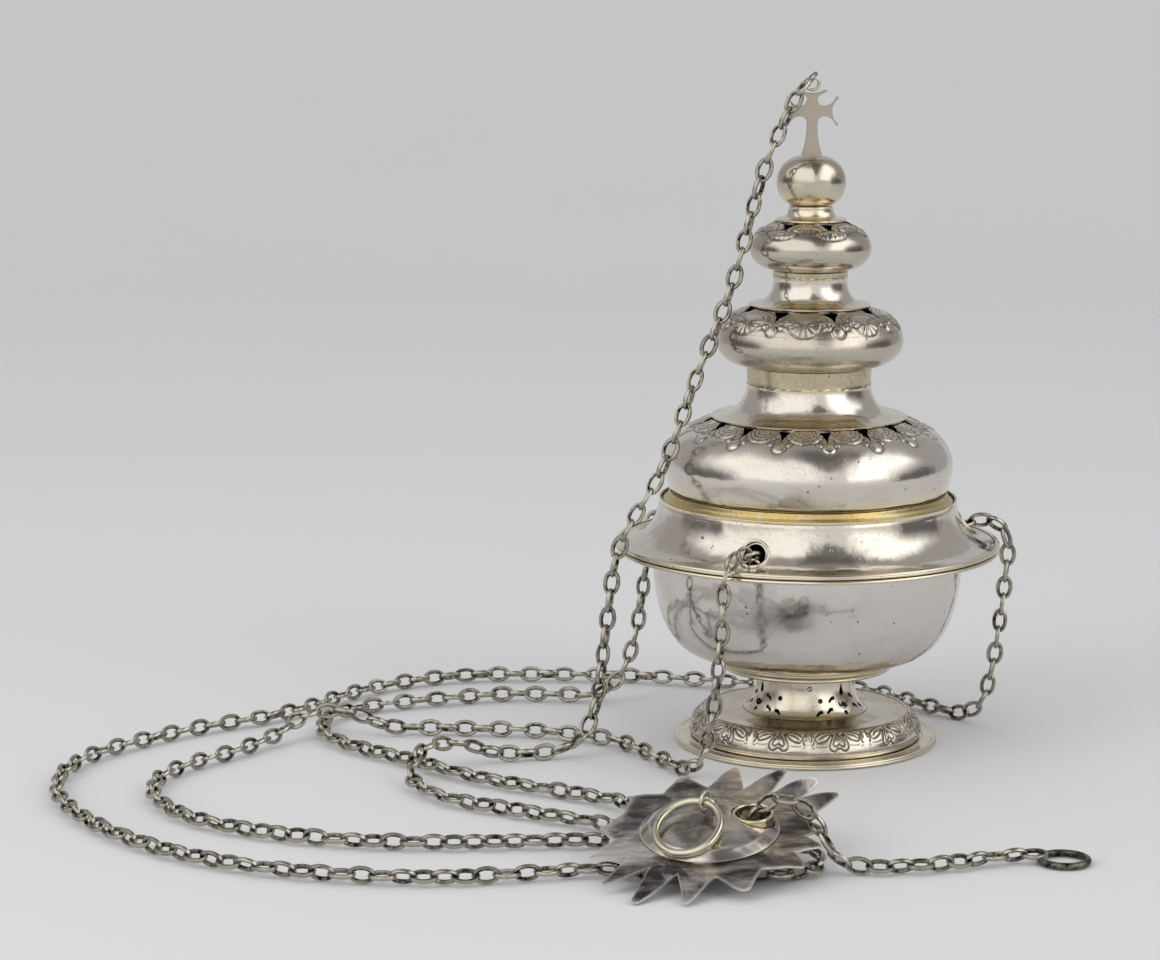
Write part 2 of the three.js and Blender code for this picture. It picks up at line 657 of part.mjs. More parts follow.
// The hand plate, modelled level round its own centre
function raySheet() {
  const at = (radius, turn) => [radius * Math.cos(degrees(turn)), radius * Math.sin(degrees(turn))];
  const outline = rays.flatMap(([turn, share], i) => {
    const reach = share * rayLength;
    const next = i + 1 < rays.length ? rays[i + 1][0] : rays[0][0] + 360;
    const side = THREE.MathUtils.radToDeg(rayTipWidth / 2 / reach);
    return [at(reach, turn - side), at(reach, turn + side), at(rayRootRadius, (turn + next) / 2)];
  });
  const shape = new THREE.Shape(outline.map(([x, y]) => new THREE.Vector2(x, y)));
  const bore = new THREE.Path();
  bore.absarc(eyeletOffset, 0, eyeletBoreRadius, 0, 2 * Math.PI, true);
  shape.holes.push(bore);
  const sheet = new THREE.ExtrudeGeometry(shape, { depth: plateWall, bevelEnabled: false, curveSegments: 8 });
  sheet.translate(0, 0, -plateWall);
  const position = sheet.attributes.position;
  for (let i = 0; i < position.count; i += 1) {
    const [x, y] = [position.getX(i), position.getY(i)];
    const ray = rays.find(([turn, share]) => {
      const [tipX, tipY] = at(share * rayLength, turn);
      return Math.hypot(x - tipX, y - tipY) < rayTipWidth;
    });
    if (ray) position.setZ(i, position.getZ(i) + ray[2] * rayLength);
  }
  return sheet;
}

const bossSurface = (radius) => seat + bossHeight * (1 - (radius / bossRadius) ** bossPower);

function plateBoss() {
  const steps = 6;
  const outer = Array.from({ length: steps + 1 }, (_, i) => {
    const radius = bossRadius * (1 - i / steps) ** 0.7;
    return [radius, bossSurface(radius)];
  });
  const inner = outer.slice(1).map(([r, z]) => [Math.max(r - 0.4, 0), z - pressedWall]).filter(([, z]) => z > seat);
  const foot = [[bossRadius - pressedWall, seat]];
  const dome = turned([...outer, ...inner.reverse(), ...foot], narrowSides);
  const bore = rod(eyeletOuterRadius + seat, bossHeight * 4, 16).rotateX(Math.PI / 2).translate(eyeletOffset, 0, 0);
  return carve(dome, [bore]);
}

function eyelet() {
  const top = bossSurface(eyeletOffset) + eyeletStand;
  return turned([
    [eyeletBoreRadius, seat], [eyeletOuterRadius, seat], [eyeletOuterRadius, top],
    [eyeletBoreRadius + 0.1, top],
  ], 20).translate(eyeletOffset, 0, 0);
}

// The link and the handle ring hang one in the other from the staple on the boss
const stapleArch = bossSurface(0) + seat + handleStapleHeight;
const staplePin = linkRadius - linkWire - stapleWire - seat;
const handlePin = linkRadius - linkWire - handleWire - seat;

function jumpLink() {
  const ring = new THREE.TorusGeometry(linkRadius, linkWire, 5, 14).rotateX(Math.PI / 2);
  return ring.translate(staplePin, 0, stapleArch);
}

function handleRing() {
  const ring = new THREE.TorusGeometry(handleRingRadius, handleWire, 6, 24).translate(handleRingRadius, 0, 0);
  return ring.rotateY(degrees(handleLie)).translate(staplePin + handlePin, 0, stapleArch);
}

// Assembly
const thurible = new THREE.Group();

function place(parent, name, geometry, material) {
  const mesh = new THREE.Mesh(closed(geometry), material);
  mesh.name = name;
  parent.add(mesh);
  return mesh;
}

const vessel = new THREE.Group();
place(vessel, 'foot_flange', footFlange(), castSilver());
place(vessel, 'foot_band', footBand(), castSilver());
place(vessel, 'foot_disc', footDisc(), silver());
place(vessel, 'stem', stem(), silver());
place(vessel, 'bowl_moulding', bowlMoulding(), castSilver());
place(vessel, 'bowl', bowl(), silver());
place(vessel, 'bowl_flange', bowlFlange(), castSilver());
place(vessel, 'coal_pan', coalPan(), panIron());

const lid = new THREE.Group();
place(lid, 'lid_rim', lidRim(), castSilver());
place(lid, 'lid_skirt', lidSkirt(), silver());
place(lid, 'lid_bezel', lidBezel(), giltSilver());
place(lid, 'large_dome', largeDome(), silver());
place(lid, 'lower_neck', neck(lowerLedgeRadius, lowerWaistRadius, lowerNeckBottom, lowerNeckHeight, middleSides), silver());
const secondProfile = bulb(
  secondBaseRadius,
  secondRadius,
  upperLedgeRadius - 5,
  [secondBottom, secondMiddle, secondTop],
  4,
);
place(
  lid,
  'second_dome',
  pierced(secondProfile, middleSides, secondVents, upperLedgeRadius, secondMiddle, secondTop),
  silver(),
);
place(lid, 'upper_neck', neck(upperLedgeRadius, upperWaistRadius, upperNeckBottom, upperNeckHeight, narrowSides), silver());
const thirdProfile = bulb(
  thirdBaseRadius,
  thirdRadius,
  ballLedgeRadius - 5,
  [thirdBottom, thirdMiddle, thirdTop],
  3,
);
place(
  lid,
  'third_dome',
  pierced(thirdProfile, narrowSides, thirdVents, ballLedgeRadius, thirdMiddle, thirdTop),
  silver(),
);
place(lid, 'ball_neck', ballNeck(), castSilver());
place(lid, 'finial_ball', finialBall(), silver());
place(lid, 'finial_cross', finialCross(), castSilver());
place(lid, 'finial_loop', finialLoop(), ringSilver());
vessel.add(lid);

Object.entries(chainHoleTurns).forEach(([chain, turn]) => {
  place(lid, `${chain}_hole_rim`, holeRim(turn), castSilver());
  const lug = place(vessel, `${chain}_lug`, stapleGeometry(lugHalfWidth, lugHeight, lugWire), castSilver());
  lug.position.copy(polar(holeSite().point[0] - lugTuck, turn, rimTop + seat));
  lug.rotation.z = degrees(turn);
});
thurible.add(vessel);

const plate = new THREE.Group();
place(plate, 'hand_plate', raySheet(), silver());
place(plate, 'plate_boss', plateBoss(), silver());
place(plate, 'plate_eyelet', eyelet(), castSilver());
Object.entries(plateStapleTurns).forEach(([chain, turn]) => {
  const staple = place(plate, `${chain}_staple`, stapleGeometry(stapleHalfWidth, stapleHeight, stapleWire), castSilver());
  const angle = degrees(turn);
  staple.position.set(plateStapleRadius * Math.cos(angle), plateStapleRadius * Math.sin(angle), -plateWall - seat);
  staple.rotation.set(Math.PI, 0, -angle - Math.PI / 2);
});
const grip = new THREE.Group();
const gripStaple = place(grip, 'handle_staple', stapleGeometry(stapleHalfWidth, handleStapleHeight, stapleWire), castSilver());
gripStaple.position.z = bossSurface(0) + seat;
gripStaple.rotation.z = Math.PI / 2;
place(grip, 'jump_link', jumpLink(), ringSilver());
place(grip, 'handle_ring', handleRing(), ringSilver());
grip.rotation.z = degrees(handleTurn);
plate.add(grip);
const plateNormal = new THREE.Vector3(-plateSlopeX, -plateSlopeY, 1).normalize();
plate.quaternion.setFromUnitVectors(new THREE.Vector3(0, 0, 1), plateNormal);
plate.position.set(plateX, plateY, plateRest);
thurible.add(plate);

const liftRing = place(
  thurible,
  'lift_ring',
  new THREE.TorusGeometry(liftRingRadius, liftRingWire, 6, 20),
  tarnishedSilver(),
);
liftRing.position.copy(liftRingCentre);

// The origin lies on the table under the middle of the vessel, plate and rings
const bounds = new THREE.Box3().setFromObject(thurible, true);
const middle = bounds.getCenter(new THREE.Vector3());

const chains = {
  lift_chain: liftChainRoute,
  chain_front: frontChainRoute,
  chain_left: leftChainRoute,
  chain_right: rightChainRoute,
};
Object.entries(chains).forEach(([name, route]) => {
  const points = route.map(([x, y, z]) => new THREE.Vector3(x, y, z));
  place(thurible, name, wire(points, chainWidth / 2, chainSides, stepsPerSpan), tarnishedSilver());
});

thurible.position.set(-middle.x, -middle.y, 0);
thurible.updateMatrixWorld(true);

export default thurible;
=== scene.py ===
"""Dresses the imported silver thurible: raised and chased silver, chains, hand plate and a plain studio."""

import math

import bmesh
import bpy
import numpy as np
from mathutils import Matrix, Vector
from mathutils.geometry import tessellate_polygon


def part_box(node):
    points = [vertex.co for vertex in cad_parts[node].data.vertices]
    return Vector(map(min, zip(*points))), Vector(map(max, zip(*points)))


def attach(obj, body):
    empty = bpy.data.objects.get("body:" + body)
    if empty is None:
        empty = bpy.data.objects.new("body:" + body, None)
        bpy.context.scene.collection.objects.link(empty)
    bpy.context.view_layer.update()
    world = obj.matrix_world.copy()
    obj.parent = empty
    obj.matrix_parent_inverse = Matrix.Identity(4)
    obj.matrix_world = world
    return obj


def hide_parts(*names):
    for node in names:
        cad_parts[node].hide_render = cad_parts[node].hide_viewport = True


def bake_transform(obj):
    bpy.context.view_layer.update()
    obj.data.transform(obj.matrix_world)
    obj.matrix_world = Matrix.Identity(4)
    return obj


bl_info = {
    "name": "Silver thurible",
    "version": (1, 0, 0),
    "blender": (4, 5, 0),
    "location": "View3D > Sidebar > Thurible",
    "description": "Chased silver thurible with its chains and rayed hand plate",
    "category": "Add Mesh",
}

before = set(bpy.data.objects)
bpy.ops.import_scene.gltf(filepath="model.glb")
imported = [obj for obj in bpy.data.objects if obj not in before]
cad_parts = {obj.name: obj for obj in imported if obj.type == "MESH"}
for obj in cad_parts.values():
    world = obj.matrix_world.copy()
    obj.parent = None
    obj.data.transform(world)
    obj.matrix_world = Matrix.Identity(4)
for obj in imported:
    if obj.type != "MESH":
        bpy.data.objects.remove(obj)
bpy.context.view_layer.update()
MM = 0.001

# Where the vessel stands, from its bowl
BOWL_LOW, BOWL_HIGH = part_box("bowl")
AXIS = (BOWL_LOW + BOWL_HIGH) / 2
AXIS.z = 0.0


def span(node):
    """A turned node's outer radius and its lowest and highest point, in millimetres."""
    low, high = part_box(node)
    return (high.x - low.x) / 2 / MM, low.z / MM, high.z / MM


# Clearance in millimetres between pieces that sit on each other
SEAT = 0.3

# Sizes in millimetres, first those that the solids give
FOOT_RADIUS = span("foot_flange")[0]
BAND_RADIUS, BAND_BOTTOM, BAND_TOP = span("foot_band")
DISC_RADIUS, _, DISC_TOP = span("foot_disc")
STEM_RADIUS, STEM_BOTTOM, STEM_TOP = span("stem")
_, MOULDING_BOTTOM, MOULDING_TOP = span("bowl_moulding")
BOWL_RADIUS, BOWL_BOTTOM, RIM_TOP = span("bowl")
RIM_RADIUS, FLANGE_BOTTOM, FLANGE_TOP = span("bowl_flange")
PAN_RADIUS, PAN_BOTTOM, PAN_TOP = span("coal_pan")
LID_RADIUS, LID_BOTTOM, LID_RIM_TOP = span("lid_rim")
SKIRT_TOP = span("lid_skirt")[2]
_, BEZEL_BOTTOM, BEZEL_TOP = span("lid_bezel")
DOME_RADIUS, DOME_BOTTOM, DOME_TOP = span("large_dome")
LOWER_LEDGE, LOWER_NECK_BOTTOM, LOWER_NECK_TOP = span("lower_neck")
SECOND_RADIUS, SECOND_BOTTOM, SECOND_TOP = span("second_dome")
UPPER_LEDGE, UPPER_NECK_BOTTOM, UPPER_NECK_TOP = span("upper_neck")
THIRD_RADIUS, THIRD_BOTTOM, THIRD_TOP = span("third_dome")
BALL_LEDGE, BALL_NECK_BOTTOM, BALL_NECK_TOP = span("ball_neck")
BALL_RADIUS, BALL_BOTTOM, BALL_TOP = span("finial_ball")
CROSS_ARM, CROSS_BOTTOM, CROSS_TOP = span("finial_cross")

FLANGE_BORE = 43.6
BAND_TOP_RADIUS = 39.5
BAND_WALL = 1.2
DISC_BORE = 21.4
DISC_WALL = 1.4
STEM_WAIST = 19.3
STEM_HEAD = 20.4
STEM_FLARE = 11.4
STEM_WALL = 1.3
MOULDING_BORE = 19.0
BOWL_FOOT_RADIUS = 39.0
BOWL_WALL = 1.2
BOWL_POWER = 2.3
LID_RIM_WIDTH = 1.9
SKIRT_TOP_RADIUS = 58.2
SKIRT_WALL = 1.0
SKIRT_POWER = 2.1
DOME_BASE = 54.0
DOME_LOWER = 10.2
DOME_POWER = 1.3
DOME_WALL = 0.7
LOWER_WAIST = 24.1
SECOND_BASE = 23.6
SECOND_LOWER = 9.8
UPPER_WAIST = 14.3
THIRD_BASE = 13.8
THIRD_LOWER = 8.8
NECK_POWER = 2.3
NECK_WALL = 1.1
LOWER_COLLAR = 6.8
UPPER_COLLAR = 2.2
BALL_NECK_RADIUS = 8.2
# Each dent: turn in degrees, share of the ball's height, size and depth
BALL_DENTS = (12, 0.42, 0.1, 0.35), (52, 0.62, 0.08, 0.2), (-44, 0.66, 0.08, 0.2), (150, 0.5, 0.1, 0.3)
CROSS_CENTRE = 16.6
CROSS_PLATE = 2.4
CROSS_WAIST = 2.1
CROSS_BEVEL = 0.14
FORK_DEPTH = 0.86
SIDE_FORK_DEPTH = 0.76
LOOP_RADIUS = 2.5
LOOP_WIRE = 0.6

# Chain holes in the skirt, turned in degrees from the front toward +X
HOLE_TURNS = {"chain_front": -22.4, "chain_right": 97.6, "chain_left": 217.6}
HOLE_HALF_WIDTH = 4.4
HOLE_HALF_HEIGHT = 4.9
HOLE_HEIGHT = 84.73
HOLE_RIM_WIRE = 0.62

# Vents: how many, turn of the first in degrees, width, and length outward from the ledge
DOME_VENTS = (16, 5.3, 5.2, 5.0)
SECOND_VENTS = (8, 15.0, 6.4, 4.4)
THIRD_VENTS = (6, 21.0, 6.0, 3.0)

# Hand plate, and the wires on it
PLATE_CENTRE = Vector((-45.0, -180.0, 13.2))
PLATE_SLOPE = (0.05, 0.2)
PLATE_WALL = 1.0
RAY_LENGTH = 50.0
RAY_ROOT = 33.0
# Each ray: turn, reach as a share of the ray length, bend of its tip, twist, width of its tip
RAYS = [
    (-2, 0.78, 0.0, 0.06, 2.2), (24, 1.0, 1.4, 0.6, 1.4), (40, 1.02, 0.8, 0.75, 2.2),
    (57, 1.06, 0.2, 0.6, 1.6), (76, 0.94, 0.6, 0.1, 2.6), (101, 0.86, 0.2, -0.1, 2.4),
    (133, 0.76, 0.0, -0.1, 3.4), (171, 0.76, 0.0, 0.1, 2.0), (201, 0.88, 0.0, 0.12, 1.2),
    (222, 1.0, -0.8, -0.1, 1.2), (239, 1.05, -1.5, -0.12, 2.4), (258, 0.96, -1.7, 0.08, 2.2),
    (284, 0.86, -0.8, 0.1, 3.6), (316, 0.84, 0.0, -0.12, 2.6), (338, 0.8, 0.0, -0.1, 2.6),
]
BOSS_RADIUS = 24.0
BOSS_HEIGHT = 6.5
BOSS_POWER = 2.6
BOSS_STEP = 20.5
BOSS_WALL = 0.9
EYELET_OFFSET = 15.0
EYELET_BORE = 5.9
EYELET_RADIUS = 7.2
EYELET_STAND = 1.4
STAPLE_RADIUS = 22.0
STAPLE_TURNS = {"chain_front": 20, "chain_left": 140, "chain_right": 260}
STAPLE_WIRE = 0.65
STAPLE_HALF_WIDTH = 2.2
STAPLE_HEIGHT = 4.2
HANDLE_TURN = -125.0
HANDLE_RADIUS = 11.3
HANDLE_WIRE = 1.3
HANDLE_LIE = 25.5
JUMP_LINK_RADIUS = 3.3
JUMP_LINK_WIRE = 0.6
HANDLE_STAPLE_HEIGHT = 4.9
LIFT_RING_RADIUS = 8.2
LIFT_RING_WIRE = 1.25
LIFT_RING_CENTRE = Vector((77.0, -175.0, 1.4))
LUG_WIRE = 0.7
LUG_HALF_WIDTH = 2.1
LUG_HEIGHT = 4.4
LUG_RADIUS = 62.43

# How high the middle of a chain is where it lies on the table, in metres
LYING = 0.00345

# The chains' routes, in metres from the vessel's axis
ROUTES = {
    "lift_chain": [
        (-0.0008, -0.0014, 0.2596), (-0.0018, -0.0044, 0.2592), (-0.0046, -0.0076, 0.2564),
        (-0.008, -0.0092, 0.251), (-0.0186, -0.011, 0.2265), (-0.0315, -0.0134, 0.18),
        (-0.045, -0.0194, 0.146), (-0.0574, -0.026, 0.113), (-0.0742, -0.0296, 0.082),
        (-0.079, -0.0306, 0.052), (-0.084, -0.0316, 0.018), (-0.0904, -0.0328, 0.007),
        (-0.101, -0.0346, LYING), (-0.122, -0.0404, 0.0046), (-0.134, -0.044, 0.0088),
        (-0.1446, -0.0516, 0.0103), (-0.1506, -0.063, 0.009), (-0.152, -0.077, 0.0044),
        (-0.138, -0.101, LYING), (-0.111, -0.119, LYING), (-0.08, -0.137, LYING), (-0.056, -0.157, LYING),
        (-0.046, -0.1668, LYING), (-0.0389, -0.1734, LYING), (-0.0346, -0.177, 0.005),
        (-0.0315, -0.1797, 0.009), (-0.0303, -0.1808, 0.0135), (-0.0299, -0.1813, 0.017),
        (-0.0283, -0.1819, 0.0206), (-0.025, -0.1832, 0.0241), (-0.0199, -0.1851, 0.0256),
        (-0.0149, -0.187, 0.0241), (-0.0106, -0.188, 0.02), (-0.0072, -0.1885, 0.0144),
        (-0.004, -0.1888, 0.00895), (0, -0.1891, 0.0049), (0.006, -0.1894, LYING),
        (0.0315, -0.1868, LYING), (0.048, -0.1804, LYING), (0.0575, -0.1766, LYING),
        (0.0668, -0.1754, LYING),
    ],
    "chain_front": [
        (-0.0243, -0.0583, 0.0846), (-0.0257, -0.0608, 0.0859), (-0.028, -0.0638, 0.0863),
        (-0.032, -0.0684, 0.085), (-0.0348, -0.0717, 0.0812), (-0.0359, -0.0729, 0.0754),
        (-0.0364, -0.0736, 0.062), (-0.038, -0.073, 0.042), (-0.0404, -0.0706, 0.022),
        (-0.0434, -0.0672, 0.0096), (-0.049, -0.0606, LYING), (-0.056, -0.049, LYING),
        (-0.0666, -0.0296, LYING), (-0.076, -0.0156, LYING), (-0.09, -0.008, LYING),
        (-0.108, -0.001, LYING), (-0.131, 0.0016, LYING), (-0.152, 0.0034, LYING),
        (-0.166, 0.0024, 0.0044), (-0.178, 0.002, 0.0092), (-0.1896, 0.0026, 0.0103),
        (-0.1996, -0.003, 0.0088), (-0.2086, -0.014, 0.0048), (-0.222, -0.033, LYING),
        (-0.236, -0.051, LYING), (-0.2456, -0.07, LYING), (-0.247, -0.09, LYING), (-0.241, -0.109, LYING),
        (-0.229, -0.127, LYING), (-0.211, -0.141, LYING), (-0.186, -0.1526, LYING),
        (-0.16, -0.159, LYING), (-0.132, -0.16, LYING), (-0.105, -0.1584, LYING), (-0.082, -0.158, LYING),
        (-0.066, -0.168, LYING), (-0.054, -0.182, LYING), (-0.043, -0.1926, LYING),
        (-0.03, -0.1984, LYING), (-0.017, -0.197, LYING), (-0.0086, -0.189, LYING),
        (-0.0084, -0.178, 0.0046), (-0.0144, -0.1724, 0.007), (-0.0194, -0.1718, 0.0086),
    ],
    "chain_left": [
        (-0.0386, 0.0501, 0.0846), (-0.0404, 0.052, 0.0859), (-0.044, 0.0546, 0.0865),
        (-0.0506, 0.0572, 0.0856), (-0.0564, 0.058, 0.0822), (-0.0598, 0.0566, 0.0766),
        (-0.061, 0.0558, 0.066), (-0.0636, 0.059, 0.046), (-0.067, 0.0586, 0.026), (-0.074, 0.0586, 0.01),
        (-0.0836, 0.059, 0.0037), (-0.096, 0.0596, LYING), (-0.119, 0.0606, LYING),
        (-0.14, 0.0546, LYING), (-0.161, 0.047, LYING), (-0.177, 0.0384, LYING), (-0.1884, 0.026, LYING),
        (-0.192, 0.011, LYING), (-0.1896, -0.006, LYING), (-0.181, -0.021, LYING),
        (-0.168, -0.0346, LYING), (-0.1536, -0.0466, LYING), (-0.14, -0.061, LYING),
        (-0.1246, -0.0746, LYING), (-0.105, -0.0874, LYING), (-0.086, -0.0986, LYING),
        (-0.0746, -0.109, 0.0042), (-0.07, -0.122, 0.0064), (-0.069, -0.136, 0.0098),
        (-0.069, -0.148, 0.0108), (-0.0686, -0.156, 0.0108), (-0.0654, -0.1626, 0.0106),
    ],
    "chain_right": [
        (0.0626, 0.0084, 0.0846), (0.0654, 0.0087, 0.0859), (0.0691, 0.0092, 0.0863),
        (0.0752, 0.01, 0.0849), (0.079, 0.0106, 0.081), (0.0804, 0.011, 0.0754), (0.0798, 0.0132, 0.06),
        (0.0782, 0.0158, 0.042), (0.0758, 0.019, 0.022), (0.0722, 0.023, 0.0088), (0.066, 0.0284, LYING),
        (0.0556, 0.0376, LYING), (0.044, 0.053, LYING), (0.031, 0.068, LYING), (0.008, 0.078, LYING),
        (-0.0217, 0.0818, LYING), (-0.0594, 0.0926, LYING), (-0.1067, 0.0966, LYING),
        (-0.14, 0.094, LYING), (-0.167, 0.08, LYING), (-0.186, 0.06, LYING), (-0.2, 0.038, LYING),
        (-0.216, 0.021, LYING), (-0.239, 0.0046, LYING), (-0.259, -0.015, LYING), (-0.276, -0.038, LYING),
        (-0.284, -0.066, LYING), (-0.281, -0.096, LYING), (-0.269, -0.124, LYING),
        (-0.252, -0.149, LYING), (-0.229, -0.1716, LYING), (-0.202, -0.188, LYING),
        (-0.168, -0.199, LYING), (-0.132, -0.202, LYING), (-0.099, -0.1956, LYING),
        (-0.082, -0.1926, LYING), (-0.066, -0.1974, LYING), (-0.0526, -0.201, LYING),
    ],
}
CHAIN_ROLL = 0.35

# Colours that the panel doesn't offer
DULL_SILVER = (0.54, 0.5, 0.455)
WARM_SILVER = (0.86, 0.74, 0.45)
CROSS_SILVER, CROSS_SHADE = (0.42, 0.38, 0.34), (0.3, 0.26, 0.21)
# The last colour of the plate's and of the boss's is the painted highlight along their edges.
PLATE_SILVER, PLATE_SHADE, PLATE_HIGHLIGHT = (0.66, 0.625, 0.59), (0.06, 0.053, 0.057), (0.82, 0.78, 0.7)
BOSS_SILVER, BOSS_SHADE, BOSS_HIGHLIGHT = (0.74, 0.7, 0.64), (0.2, 0.18, 0.17), (0.86, 0.82, 0.74)
WORN_SILVER = (0.58, 0.5, 0.3)
RING_SHADE = (0.36, 0.31, 0.2)
CHAIN_SHADE = (0.012, 0.0115, 0.009)
# Near black of inner walls and cut faces: soot and painted shade.
SOOT_AND_SHADE = (0.03, 0.026, 0.022)
IRON, ASH = (0.06, 0.052, 0.047), (0.3, 0.28, 0.26)

# The room's light, and what the silver mirrors
ROOM_LIGHT = 0.86
MIRRORED_ROOM = (0.42, 0.41, 0.405)
MIRRORED_FRONT = (0.86, 0.85, 0.84)
MIRRORED_GAP = (0.1, 0.096, 0.094)
LEFT_WINDOW = (1.32, 1.3, 1.27)
RIGHT_WINDOW = (1.85, 1.82, 1.78)

# Softboxes: name, place, size in metres and power in watts
SOFTBOXES = (
    ("left_softbox", (-1.3, -0.95, 0.95), (1.0, 1.3), 11),
    ("right_softbox", (1.25, -1.0, 0.9), (0.9, 1.1), 7),
)
LIGHT_AIM = (0, 0, 0.12)

# The paper sweep in metres: where it starts to curve, the radius of the curve, and half its width
SWEEP_START, SWEEP_BEND, SWEEP_HALF_WIDTH = 1.6, 2.2, 1.7

# The camera: its place in metres, its dip in degrees, and its lens and sensor in millimetres
CAMERA_PLACE = (-0.08927, -1.16867, 0.316)
CAMERA_DIP = 9.68
CAMERA_LENS = 100.0
CAMERA_SENSOR = 36.0


# Shaders


class Signal:
    """A node's output that takes part in Python arithmetic."""

    def __init__(self, nodes, socket):
        self.nodes = nodes
        self.socket = socket

    def math(self, operation, *values):
        return self.nodes.node("ShaderNodeMath", {"operation": operation}, dict(enumerate(values)))

    def __add__(self, other):
        return self.math("ADD", self, other)

    def __radd__(self, other):
        return self.math("ADD", other, self)

    def __sub__(self, other):
        return self.math("SUBTRACT", self, other)

    def __rsub__(self, other):
        return self.math("SUBTRACT", other, self)

    def __mul__(self, other):
        return self.math("MULTIPLY", self, other)

    def __rmul__(self, other):
        return self.math("MULTIPLY", other, self)

    def limited(self, most):
        return self.math("MINIMUM", self, most)

    def between(self, low, high):
        """0 below low, 1 above high, smooth between them."""
        return self.nodes.node(
            "ShaderNodeMapRange",
            {"interpolation_type": "SMOOTHSTEP"},
            {"Value": self, "From Min": low, "From Max": high},
        )


class Nodes:
    """The nodes of one material or of the world."""

    def __init__(self, tree):
        self.tree = tree
        tree.nodes.clear()

    def node(self, kind, settings=None, sockets=None, output=0):
        """Adds a node, sets its settings, then its sockets, and gives back one of its outputs."""
        made = self.tree.nodes.new(kind)
        for name, value in (settings or {}).items():
            setattr(made, name, value)
        for name, value in (sockets or {}).items():
            if isinstance(value, Signal):
                self.tree.links.new(value.socket, made.inputs[name])
            else:
                made.inputs[name].default_value = value
        return Signal(self, made.outputs[output]) if len(made.outputs) else made

    def mixed(self, share, first, second):
        """A colour that goes from the first to the second as share goes from 0 to 1."""
        return self.node("ShaderNodeMix", {"data_type": "RGBA"}, {0: share, 6: first, 7: second}, 2)

    def noise(self, place, scale, detail=3.0, rough=0.5, warp=0.0):
        sockets = {"Vector": place, "Scale": scale, "Detail": detail, "Roughness": rough, "Distortion": warp}
        return self.node("ShaderNodeTexNoise", {}, sockets)

    def stretched(self, place, scale):
        return self.node("ShaderNodeMapping", {}, {"Vector": place, "Scale": scale})

    def field(self, name):
        """A value that the piece's mesh carries, such as how deep the chasing is."""
        return self.node("ShaderNodeAttribute", {"attribute_name": name}, {}, "Fac")


def rgb(colour):
    return (*colour, 1.0)


def new_material(name):
    """An empty material, its nodes, and the place on the piece that its patterns read."""
    material = bpy.data.materials.new(name)
    material.use_nodes = True
    nodes = Nodes(material.node_tree)
    return material, nodes, nodes.node("ShaderNodeTexCoord", {}, {}, "Object")


def polished(material, nodes, colour, roughness, height, metallic=1.0):
    """Ends a material. height is how far its surface is lifted, in metres."""
    normal = nodes.node("ShaderNodeBump", {}, {"Strength": 1.0, "Distance": 1.0, "Height": height})
    sockets = {"Base Color": colour, "Metallic": metallic, "Roughness": roughness, "Normal": normal}
    surface = nodes.node("ShaderNodeBsdfPrincipled", {}, sockets)
    nodes.node("ShaderNodeOutputMaterial", {}, {"Surface": surface})
    return material


def silver_finish(name, tint, shade, rough, dents, ripple, grain):
    """Hand-raised silver: dents, hammer ripples, pits, scratches, tarnish and painted shade in the chasing,
    warm patches, and soot and painted shade on inner walls.
    """
    material, nodes, place = new_material(name)
    clouds = nodes.noise(place, 34.0, 5.0, 0.6, 0.4)
    fine = nodes.noise(place, 420.0, 4.0, 0.65)
    lines = nodes.noise(nodes.stretched(place, (60.0, 60.0, 2600.0)), 1.0, 2.0, 0.6)
    cells = nodes.node("ShaderNodeTexVoronoi", {}, {"Vector": place, "Scale": 210.0})
    chance = nodes.noise(place, 150.0, 1.0)
    pits = (1.0 - cells.between(0.07, 0.15)) * chance.between(0.54, 0.6)
    strokes = nodes.noise(nodes.stretched(place, (260.0, 260.0, 900.0)), 1.0, 3.0, 0.7, 0.8)
    scuffs = strokes.between(0.6, 0.7) * clouds.between(0.42, 0.58)
    specks = nodes.noise(place, 1500.0, 3.0, 0.6).between(0.56, 0.66) * clouds.between(0.4, 0.58)
    hollow = nodes.field("hollow")
    warm = nodes.field("warm")
    soot_and_shade = nodes.field("soot_and_shade")

    stain = (clouds.between(0.4, 0.75) * 0.5 + fine * 0.12 * grain).limited(1.0)
    colour = nodes.mixed(stain, rgb(tint), rgb([0.5 * (a + b) for a, b in zip(tint, shade)]))
    glow = (warm * (0.35 + clouds * 0.9) * (0.55 + fine * 0.8)).limited(1.0)
    colour = nodes.mixed(glow, colour, rgb(WARM_SILVER))
    # recess darkens where the field hollow is high, which is tarnish and painted shade in the hollows, and at
    # real pits, scuffs and specks.
    recess = hollow * (0.5 + fine * 0.9) + pits * 0.75 + scuffs * (0.16 * grain) + specks * (0.11 * grain)
    recess = recess.limited(1.0)
    colour = nodes.mixed(recess, colour, rgb([0.3 * c for c in shade]))
    # Soot and painted shade on inner walls and on the cut faces of the openings.
    colour = nodes.mixed(soot_and_shade, colour, rgb(SOOT_AND_SHADE))

    roughness = (
        rough + clouds.between(0.46, 0.62) * fine * 0.14 + clouds * 0.04 + fine * 0.03 * grain
        + lines * 0.03 + recess * 0.22 + soot_and_shade * 0.4
    )
    height = (
        nodes.noise(place, 46.0, 2.0, 0.5, 0.3) * (0.0006 * dents)
        + nodes.noise(place, 190.0, 2.0, 0.5) * (0.00004 * ripple)
        + fine * (0.000002 * grain)
        + nodes.noise(place, 1300.0, 3.0, 0.7) * clouds.between(0.44, 0.6) * (0.000016 * grain)
        + lines * 0.0000006
        - pits * 0.00005
        - scuffs * (0.000008 * grain)
        - specks * (0.000006 * grain)
    )
    return polished(material, nodes, colour, roughness.limited(1.0), height)


